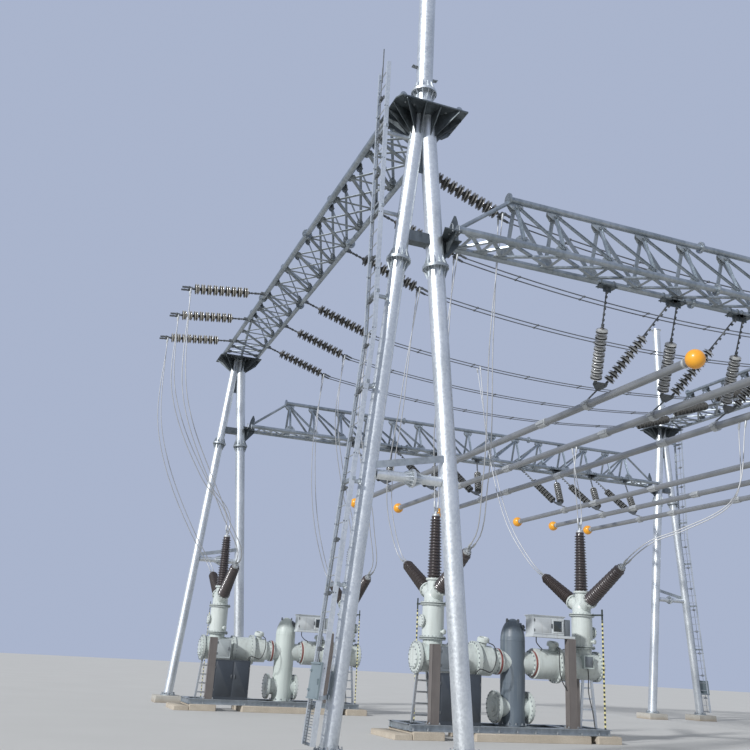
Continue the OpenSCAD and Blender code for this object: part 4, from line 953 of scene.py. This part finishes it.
ring_sides, rings = 28, []
for x in (1.33, 3.33):
    foot = np.array([x, 0, tank_z])
    rings += [placed(turned(ring_profile, ring_sides), [foot], hand_up, x_axis)]
    tank_bolts += [flange(12, 0.138, 15, foot + 0.487 * hand_up, hand_up, 0.046, 0.022, x_axis)]
gasket, place = new_finish("gasket_edge", Roughness=0.6)
set_finish(gasket, Base_Color=mix(noise(place, 20.0, 5.0), (0.06, 0.075, 0.075), (0.17, 0.195, 0.19)))
hatch_rings = piece("hatch_rings", tank_paint, at_modules(rings))
in_ring = band_of_faces(len(ring_profile), ring_sides) >= 4
give_finishes(hatch_rings, [gasket], np.tile(in_ring, len(rings) * len(module_places)))
red_tones = (0.17, 0.045, 0.04), (0.30, 0.095, 0.08)
red_paint = two_tone("red_band_paint", *red_tones, 9.0, 5.0, 0.42, 0.2, Coat_Weight=0.2)
bands = [placed(collar(0.315, 0.004, 0.056), [[x, 0, tank_z] for x in barriers], x_axis, y_axis)]
piece("barrier_bands", red_paint, at_modules(bands))


# Risers. A wide upright housing stands on each tee with flanged joints of dark gaskets, a round inspection
# cover on its outer side, and the bushings' necks on the ball at its top.
pivot, riser_r, cover_z, bushing_lean = 3.240, 0.325, 2.66, np.radians(62)
bushing_axes = [np.array([0, -a * np.sin(bushing_lean), np.cos(a * bushing_lean)]) for a in (1, 0, -1)]
cover = turned([(0.12, 0.25), (0.12, 0.300), (0.155, 0.304), (0.155, 0.336), (0.145, 0.344)], 28)
gauge = turned([(0.035, 0.23), (0.035, 0.33), (0.06, 0.335), (0.06, 0.375), (0.045, 0.385)], 16)
gaskets, covers = [], []
for x, s in zip(tee_x, (-1, 1)):
    for z in (2.268, 3.083):
        gaskets += [placed(collar(riser_r, 0.005, 0.034), [[x, 0, z]], z_axis, x_axis)]
        tank_bolts += [flange(20, riser_r - 0.024, 9, (x, 0, z), z_axis, 0.060, 0.028)]
    for axis in bushing_axes:
        neck = np.array([x, 0, pivot]) + 0.438 * axis
        tank_bolts += [flange(12, 0.182, 15, neck, axis, 0.046, 0.024, x_axis)]
    covers += [placed(cover, [[x, 0, cover_z]], s * x_axis, y_axis)]
    tank_bolts += [flange(12, 0.138, 15, (x + s * 0.32, 0, cover_z), s * x_axis, 0.046, 0.022)]
    covers += [placed(gauge, [[x, 0, 2.42]], (0.45, -0.9, 0), z_axis)]
piece("riser_covers", tank_paint, at_modules(covers))
piece("riser_gaskets", gasket, at_modules(gaskets))


# Bushings. Brown glazed porcelain tubes taper outward from each neck, turned in one piece with twenty thin
# sheds, a wide one after each narrow one, and cemented into metal rings at both ends.
bushing_start, bushing_len, shed_count, shed_sides = 0.460, 1.560, 20, 32
bushing_end = bushing_start + bushing_len
step = (bushing_len - 0.09) / shed_count
foot_ring = [(0.150, 0), (0.160, 0.012), (0.160, 0.032), (0.143, 0.036)]
profile = [(r, bushing_start + z) for r, z in foot_ring]
for i in range(shed_count):
    z = bushing_start + 0.042 + i * step
    core = 0.148 - 0.043 * i / shed_count
    reach = core + (0.040 if i % 2 else 0.034)
    profile += [(core, z), (reach - 0.006, z + 0.008), (reach, z + 0.014), (reach - 0.005, z + 0.024)]
    profile += [(core, z + 0.040)]
profile += [(0.102, bushing_end - 0.045), (0.113, bushing_end - 0.038), (0.113, bushing_end - 0.002)]
glazed, place = new_finish("brown_glaze", Coat_Weight=0.6, Coat_Roughness=0.12)
depth, film = noise(place, 6.0, 5.0), noise(place, 35.0, 4.0)
brown = mix(depth, (0.020, 0.015, 0.015), (0.052, 0.036, 0.034))
set_finish(glazed, Base_Color=mix(0.25 * film, brown, (0.16, 0.13, 0.12)), Roughness=0.24 + 0.22 * film)
rim_highlight_tones = (0.03, 0.027, 0.027), (0.09, 0.082, 0.081)
rim_highlight = two_tone("brown_glaze_rim_highlight", *rim_highlight_tones, 20.0, 5.0, 0.3, 0.3,
                     Coat_Weight=0.5, Coat_Roughness=0.15)
tube = turned(profile, shed_sides)
porcelain = [placed(tube, [[x, 0, pivot]], axis, x_axis) for x in tee_x for axis in bushing_axes]
bushing_sheds = piece("bushing_sheds", glazed, at_modules(porcelain), 55)
shed_band = band_of_faces(len(profile), shed_sides) - len(foot_ring)
# Painted highlight: the outer edges of the sheds take a lighter finish for the light they catch.
on_rim = (shed_band >= 0) & (shed_band < 5 * shed_count) & np.isin(shed_band % 5, (1, 2))
give_finishes(bushing_sheds, [rim_highlight], np.tile(on_rim, len(porcelain) * len(module_places)))
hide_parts("bushings")
dress(cast_aluminium, "bushing_terminals")
end_bolts = []
for x in tee_x:
    for axis in bushing_axes:
        top = np.array([x, 0, pivot]) + bushing_end * axis
        end_bolts += [flange(8, 0.078, 22.5, top + 0.052 * axis, axis, 0.006, 0.020, x_axis)]
        for dx, reach in ((-0.032, 0.14), (0.032, 0.14), (-0.032, 0.195), (0.032, 0.195)):
            spot = top + reach * axis + dx * x_axis
            end_bolts += [placed(nuts(0.030, 0.020), [spot], np.cross(axis, x_axis), x_axis)]
piece("module_flange_bolts", bolt_steel, at_modules(tank_bolts + end_bolts))


# Breaker tanks. A rolled steel tank with a tall dished head stands on a bolted foot; welds run round its
# shoulder and waist, and a flanged monitor stub leaves the head. The near tank is slate blue, the far one
# pale grey-green.
breaker_x = 2.23
breaker_paint, place = new_finish("breaker_paint", Coat_Weight=0.25, Coat_Roughness=0.3)
on_far_module = along(place, "Y") > 1.0
cloud, run = noise(place, 1.4, 5.0), noise(place, 13.0, 6.0, (1, 1, 0.07))
slate = mix(cloud, (0.075, 0.098, 0.125), (0.135, 0.170, 0.205))
pale = mix(cloud, (0.46, 0.52, 0.50), (0.62, 0.68, 0.65))
streak = spread(run, 0.50, 0.80, 0.0, 0.5)
set_finish(breaker_paint, Base_Color=mix(streak, mix(on_far_module, slate, pale), (0.30, 0.33, 0.34)))
set_finish(breaker_paint, Roughness=0.40 + 0.25 * run, Normal=bump(noise(place, 90.0, 2.0), 0.0008, 0.3))
dress(breaker_paint, "breaker_tanks")
shoulder_weld = [(0.300, 2.318), (0.3145, 2.322), (0.3165, 2.330), (0.3145, 2.338), (0.300, 2.342)]
waist_weld = [(0.300, 1.300), (0.3125, 1.304), (0.3135, 1.308), (0.3125, 1.312), (0.300, 1.316)]
beads = shoulder_weld, waist_weld
welds = [placed(turned(bead, 48), [[breaker_x, 0, 0]], z_axis, x_axis) for bead in beads]
piece("tank_welds", breaker_paint, at_modules(welds), 60)
stub_way = np.array([0.72, -0.42, 0.55])
stub_way /= np.linalg.norm(stub_way)
stub_foot = np.array([breaker_x + 0.09, -0.05, 2.575])
stub = turned([(0.062, 0), (0.062, 0.155), (0.118, 0.160), (0.118, 0.190), (0.108, 0.196)], 20)
plug = turned([(0.045, 0.196), (0.045, 0.225), (0.030, 0.235)], 14)
monitor = [placed(shape, [stub_foot], stub_way) for shape in (stub, plug)]
lug = np.array([[0, -0.055, 2.62], [0, 0.055, 2.62], [0, 0.055, 2.83], [0, 0.03, 2.868], [0, -0.03, 2.868],
                [0, -0.055, 2.83]])
for dx in (-0.16, 0.16):
    monitor += [rings_to_shape(np.stack([lug + [breaker_x + dx + half, 0, 0] for half in (-0.009, 0.009)]))]
monitor += [flange(8, 0.098, 22.5, stub_foot + 0.175 * stub_way, stub_way, 0.034, 0.020, z_axis)]
piece("tank_monitors", dark_fitting, at_modules(monitor))


# Drive drums. Short stubs at the tank's foot are closed by wide dished steel covers, each with a ring of
# bolts and a boss, and painted like the gas tanks.
drum_z = 0.750
boss = turned([(0.23, 0.0), (0.225, 0.010), (0.12, 0.018), (0.11, 0.034), (0.09, 0.038)], 28)
bosses, drum_bolts = [], [placed(stud, circle(0.336, 12, 15, (breaker_x, 0, 0.356)), 0.6 * z_axis, x_axis)]
for s, reach in ((-1, 0.540), (1, 0.430)):
    bosses += [placed(boss, [[breaker_x + s * reach, 0, drum_z]], s * x_axis, y_axis)]
    middle = (breaker_x + s * (reach - 0.035), 0, drum_z)
    drum_bolts += [flange(20, 0.352, 9, middle, s * x_axis, 0.070, 0.030)]
piece("drum_bosses", tank_paint, at_modules(bosses))
piece("drum_bolts", bolt_steel, at_modules(drum_bolts))


# Control cabinets and drive boxes. Folded sheet steel boxes with hinged doors: the cabinet has a dark window
# and a swing handle. The low drive boxes are near-black, the upper one slate on the near module and pale on
# the far one, and the small boxes on the tees are grey-green.
cabinet_face, box_face, small_face, tee_face = -0.674, -0.690, -0.640, -0.420


def on_front(x0, x1, z0, z1, y, thick, cut):
    """A thin plate with cut edges between two corners of a face that looks to the front at that y."""
    return placed(pad(x0, x1, z0, z1, 0, thick, cut), [[0, y, 0]], -y_axis)


cabinet_paint, place = new_finish("cabinet_paint", Coat_Weight=0.2, Coat_Roughness=0.3)
cloud, run = noise(place, 2.5, 5.0), noise(place, 14.0, 5.0, (1, 1, 0.1))
grey = mix(cloud, (0.50, 0.535, 0.56), (0.66, 0.70, 0.725))
dirt = spread(run, 0.52, 0.80, 0.0, 0.45)
set_finish(cabinet_paint, Base_Color=mix(dirt, grey, (0.33, 0.32, 0.29)), Roughness=0.35 + 0.2 * run)
dress(cabinet_paint, "control_cabinets")
box_paint, place = new_finish("drive_box_paint", Coat_Weight=0.2, Coat_Roughness=0.35)
back, tall = along(place, "Y"), along(place, "Z")
on_far_module = back > 1.0
from_middle = back - module_places[0, 1] - (module_places[1, 1] - module_places[0, 1]) * on_far_module
on_tee = (from_middle > -0.425) * (1 - (tall > 2.3))
low_box = (1 - (tall > 1.505)) * (1 - on_tee)
wear, run = noise(place, 3.0, 5.0), noise(place, 15.0, 5.0, (1, 1, 0.1))
slate = mix(wear, (0.115, 0.135, 0.155), (0.20, 0.225, 0.25))
pale = mix(wear, (0.30, 0.335, 0.35), (0.45, 0.49, 0.50))
night = mix(wear, (0.022, 0.028, 0.038), (0.060, 0.072, 0.088))
green = mix(wear, (0.40, 0.47, 0.46), (0.56, 0.63, 0.61))
drive = mix(low_box, mix(on_far_module, slate, pale), night)
set_finish(box_paint, Base_Color=mix(on_tee, drive, green), Roughness=0.38 + 0.25 * run)
dress(box_paint, "mechanism_boxes")

window_frame = ((2.985, 3.29, 2.555, 2.590), (2.985, 3.29, 2.845, 2.880), (2.985, 3.020, 2.590, 2.845),
                (3.255, 3.29, 2.590, 2.845))
cabinet_trim = [on_front(*bar, cabinet_face, 0.014, 0.006) for bar in window_frame]
cabinet_trim += [on_front(2.475, 2.950, 2.545, 2.895, cabinet_face, 0.006, 0.004)]
cabinet_trim += [box_of(2.40, 3.37, -0.695, -0.27, 2.9623, 2.972)]
piece("cabinet_trim", cabinet_paint, at_modules(cabinet_trim))
glass_tones = (0.012, 0.02, 0.024), (0.05, 0.065, 0.07)
dark_glass = two_tone("dark_glass", *glass_tones, 6.0, 5.0, 0.10, 0.25,
                      Coat_Weight=0.8, Coat_Roughness=0.05)
pane = [on_front(3.018, 3.257, 2.588, 2.847, cabinet_face, 0.006, 0.003)]
piece("cabinet_windows", dark_glass, at_modules(pane))
doors = []
for x0, x1, z0, z1, y in ((-0.06, 0.30, 1.57, 2.05, box_face), (-0.05, 0.46, 0.42, 1.43, box_face),
                          (0.50, 0.96, 0.42, 1.43, box_face), (3.36, 3.50, 2.53, 2.87, small_face),
                          (4.09, 4.33, 1.78, 2.05, tee_face), (-0.24, 0.0, 1.78, 2.05, tee_face)):
    doors += [on_front(x0, x1, z0, z1, y, 0.008, 0.006)]
piece("drive_box_doors", box_paint, at_modules(doors))
handles = []
for x, z, y in ((2.965, 2.72, cabinet_face), (0.27, 1.80, box_face - 0.008), (0.43, 1.0, box_face - 0.008),
                (0.53, 1.0, box_face - 0.008), (4.305, 1.92, tee_face - 0.008)):
    handles += [on_front(x - 0.013, x + 0.013, z - 0.055, z + 0.055, y, 0.026, 0.006)]
hinge = turned([(0.010, -0.035), (0.012, -0.03), (0.012, 0.03), (0.010, 0.035)], 8)
for x, low, high, y in ((2.462, 2.60, 2.84, -0.682), (-0.075, 1.65, 1.97, -0.698), (-0.07, 0.6, 1.25, -0.698),
                        (0.975, 0.6, 1.25, -0.698)):
    handles += [placed(hinge, [[x, y, z]], z_axis, x_axis) for z in (low, high)]
piece("door_handles_and_hinges", dark_fitting, at_modules(handles))


# Earthing bars. Flat bars painted in bands of yellow and dark green, about a tenth of a metre a pair; the
# top of each is plain and dark.
pairs_per_metre, bare_above = 9.35, 2.95
stripes, place = new_finish("striped_paint", Coat_Weight=0.3)
tall, fade = along(place, "Z"), noise(place, 14.0, 5.0)
turn_share = tall.node("Math", {"operation": "FRACT"}, {0: tall * pairs_per_metre})
on_yellow = (turn_share > 0.5) * (1 - (tall > bare_above))
dark_green = mix(fade, (0.012, 0.018, 0.014), (0.04, 0.055, 0.045))
yellow = mix(fade, (0.62, 0.56, 0.22), (0.80, 0.75, 0.42))
set_finish(stripes, Base_Color=mix(on_yellow, dark_green, yellow), Roughness=0.4 + 0.3 * fade)
dress(stripes, "earthing_bars")


# Span wires. Twin stranded aluminium wires hang in a shallow curve between the forks of facing strings,
# held apart by small clamps.
def strand_finish(name, dark, light, rough):
    """Stranded aluminium wire: wide clouds of tone and the fine relief of its lay."""
    material, place = new_finish(name, Metallic=0.6)
    cloud, lay = noise(place, 3.0), noise(place, 160.0, 2.0)
    set_finish(material, Base_Color=mix(cloud, dark, light), Roughness=rough + 0.2 * cloud)
    set_finish(material, Normal=bump(lay, 0.002, 0.5))
    return material


def span_z(x):
    """The height of the span wires: a parabola, lowest at the bay's middle."""
    return 11.2547 + 0.450 * (x / span_half) ** 2


span_half = 6.772
span_xs = span_half * np.linspace(-1, 1, 33)
pair_bar = np.array([[0, -wire_half, 0], [0, wire_half, 0]])
clamp = turned([(0.022, -0.03), (0.032, -0.02), (0.032, 0.02), (0.022, 0.03)], 8)
spans, spacers = [], []
for y in np.concatenate([line_ys, -line_ys]):
    for s in (-1, 1):
        path = np.column_stack([span_xs, np.full(33, y + s * wire_half), span_z(span_xs)])
        spans += [swept(round_bar(0.034, 8), path, y_axis)]
    for x in (-5.2, -3.2, -1.1, 1.0, 3.1, 5.1):
        ends = np.array([x, y, span_z(x)]) + pair_bar
        spacers += [swept(round_bar(0.026, 6), ends), placed(clamp, ends, x_axis, y_axis)]
# The span wires take a darker copy of the stranded aluminium than the droppers.
darker_strand = strand_finish("darker_strand_finish", (0.11, 0.12, 0.135), (0.26, 0.275, 0.30), 0.45)
span_wires = piece("span_wires", darker_strand, spans)
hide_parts("span_conductors")
piece("span_spacers", dark_fitting, spacers)


# Hanging conductors. A pair of brighter wires leaves each bushing's terminal along its axis and hangs from
# a string's fork, a tube's underside or a span wire; both ends are pressed into short sleeves.
def through(points, count):
    """Even points of a curve through the given ones: cubics, with each point's slope from its neighbours."""
    p = np.array(points, float)
    gaps = np.linalg.norm(np.diff(p, axis=0), axis=1)
    t = np.concatenate([[0], np.cumsum(gaps)])
    slope = np.gradient(p, t, axis=0)
    fine = np.linspace(0, t[-1], 400)
    i = np.clip(np.searchsorted(t, fine, side="right") - 1, 0, len(gaps) - 1)
    h, u = gaps[i][:, None], ((fine - t[i]) / gaps[i])[:, None]
    curve = (2 * u ** 3 - 3 * u ** 2 + 1) * p[i] + (3 * u ** 2 - 2 * u ** 3) * p[i + 1]
    curve += h * ((u ** 3 - 2 * u ** 2 + u) * slope[i] + (u ** 3 - u ** 2) * slope[i + 1])
    run = np.concatenate([[0], np.cumsum(np.linalg.norm(np.diff(curve, axis=0), axis=1))])
    return np.stack([np.interp(np.linspace(0, run[-1], count), run, c) for c in curve.T], 1)


def hung(name, finish, points, diameter):
    """A wire as a curve of one open spline of its real thickness."""
    curve = bpy.data.curves.new(name, "CURVE")
    curve.dimensions = "3D"
    curve.bevel_depth = diameter / 2
    curve.bevel_resolution = 2
    curve.use_fill_caps = True
    spline = curve.splines.new("POLY")
    spline.points.add(len(points) - 1)
    spline.points.foreach_set("co", np.column_stack([points, np.ones(len(points))]).ravel())
    curve.materials.append(finish)
    made = bpy.data.objects.new(name, curve)
    scene.collection.objects.link(made)
    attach(made, "root")
    return made


def fork_at(s, y):
    """The underside of the clamp fork of a line string on the left beam, toward the bay for s = 1."""
    out, drop = np.cos(falls[s]), np.sin(falls[s])
    z = string_z - fork_reach * drop - fork_half * out
    return [-half_x + s * (string_out + fork_reach * out - fork_half * drop), y, z]


def tube_at(i, y):
    """The underside of a tube."""
    return [tube_xs[i], y, tube_level - tube_r]


strand = strand_finish("stranded_aluminium", (0.40, 0.41, 0.42), (0.66, 0.67, 0.68), 0.42)
dropper_d, tip_reach = 0.028, 2.240
near, far = module_places
left_tee, right_tee = tee_x
routes = [
    (near, left_tee, 0, [[-6.75, -5.70, 5.60], [-7.10, -6.60, 8.80]], fork_at(1, -6.85)),
    (near, left_tee, 1, [[-6.90, -3.30, 7.30], [-7.10, -4.20, 9.60]], fork_at(1, -4.45)),
    (near, left_tee, 2, [[-6.85, -0.30, 5.40], [-7.15, -1.50, 8.70]], fork_at(1, -2.05)),
    (near, right_tee, 0, [[-2.00, -5.25, 4.75], [-1.50, -5.90, 5.05], [-0.85, -6.90, 5.65]],
     tube_at(2, -7.20)),
    (near, right_tee, 1, [[-2.35, -2.80, 6.10], [-2.48, -2.85, 6.90]], tube_at(1, -2.85)),
    (near, right_tee, 2, [[-2.62, 0.10, 5.30], [-2.90, 1.20, 7.90]], [-2.98, 2.05, 11.325]),
    (far, left_tee, 0, [[-11.00, 2.70, 5.60], [-12.60, 2.20, 8.80]], fork_at(-1, 2.05)),
    (far, left_tee, 1, [[-11.30, 5.10, 7.00], [-12.70, 4.60, 9.70]], fork_at(-1, 4.45)),
    (far, left_tee, 2, [[-11.10, 7.60, 5.60], [-12.70, 7.10, 9.00]], fork_at(-1, 6.85)),
    (far, right_tee, 0, [[-6.30, 2.70, 5.60], [-7.10, 2.20, 8.80]], fork_at(1, 2.05)),
    (far, right_tee, 1, [[-6.50, 5.10, 7.20], [-7.10, 4.60, 9.50]], fork_at(1, 4.45)),
    (far, right_tee, 2, [[-6.50, 7.60, 5.70], [-7.10, 7.10, 9.00]], fork_at(1, 6.85)),
]
sleeve = turned([(0.024, 0.0), (0.026, 0.01), (0.026, 0.15), (0.018, 0.17)], 10)
sleeves = []
for number, (foot, x, which, middle, end) in enumerate(routes):
    axis = bushing_axes[which]
    tip_point = foot + [x, 0, pivot] + tip_reach * axis
    knots = np.array([tip_point, tip_point + 0.32 * axis] + middle + [end])
    share = np.concatenate([[0], np.cumsum(np.linalg.norm(np.diff(knots, axis=0), axis=1))])[:, None]
    share /= share[-1]
    apart = (1 - share) * [0.05, 0, 0] + share * [0, wire_half, 0] + 4 * share * (1 - share) * [0.06, 0, 0]
    for side, s in zip("ab", (-1, 1)):
        wire = through(knots + s * apart, 40)
        made = hung(f"dropper_{number:02d}{side}", strand, wire, dropper_d)
        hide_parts("droppers")
        for a, b in ((wire[0], wire[1]), (wire[-1], wire[-2])):
            sleeves += [placed(sleeve, [a], (b - a) / np.linalg.norm(b - a), (0.9, 0.3, 0.1))]
piece("dropper_sleeves", cast_aluminium, sleeves)


# Control cables. Black sheathed cables, four to a module, run in free loops between the tanks, the cabinet,
# the boxes, the post and the base frame.
cable_d = 0.026
sheath, place = new_finish("cable_sheath", Roughness=0.5)
set_finish(sheath, Base_Color=mix(noise(place, 30.0, 4.0), (0.012, 0.013, 0.014), (0.06, 0.06, 0.06)))
loops = (
    [[1.44, -0.20, 2.235], [1.46, -0.45, 2.16], [1.44, -0.60, 1.85], [1.30, -0.60, 1.55],
     [1.00, -0.57, 1.60], [0.90, -0.56, 1.481]],
    [[3.43, -0.20, 2.235], [3.30, -0.48, 2.16], [3.22, -0.60, 1.85], [3.28, -0.60, 1.45],
     [3.4349, -0.60, 1.20]],
    [[2.62, -0.50, 2.44], [2.62, -0.50, 2.33], [2.72, -0.48, 2.22], [2.86, -0.36, 2.17], [2.94, -0.17, 2.13]],
    [[4.21, -0.36, 1.75], [4.21, -0.38, 1.60], [4.16, -0.44, 1.20], [4.20, -0.55, 0.70],
     [4.22, -0.60, 0.331]],
)
for which, foot in zip(("near", "far"), module_places):
    for number, knots in enumerate(loops):
        wire = through(np.array(knots) + foot, 24)
        hung(f"cable_{which}_{number}", sheath, wire, cable_d)
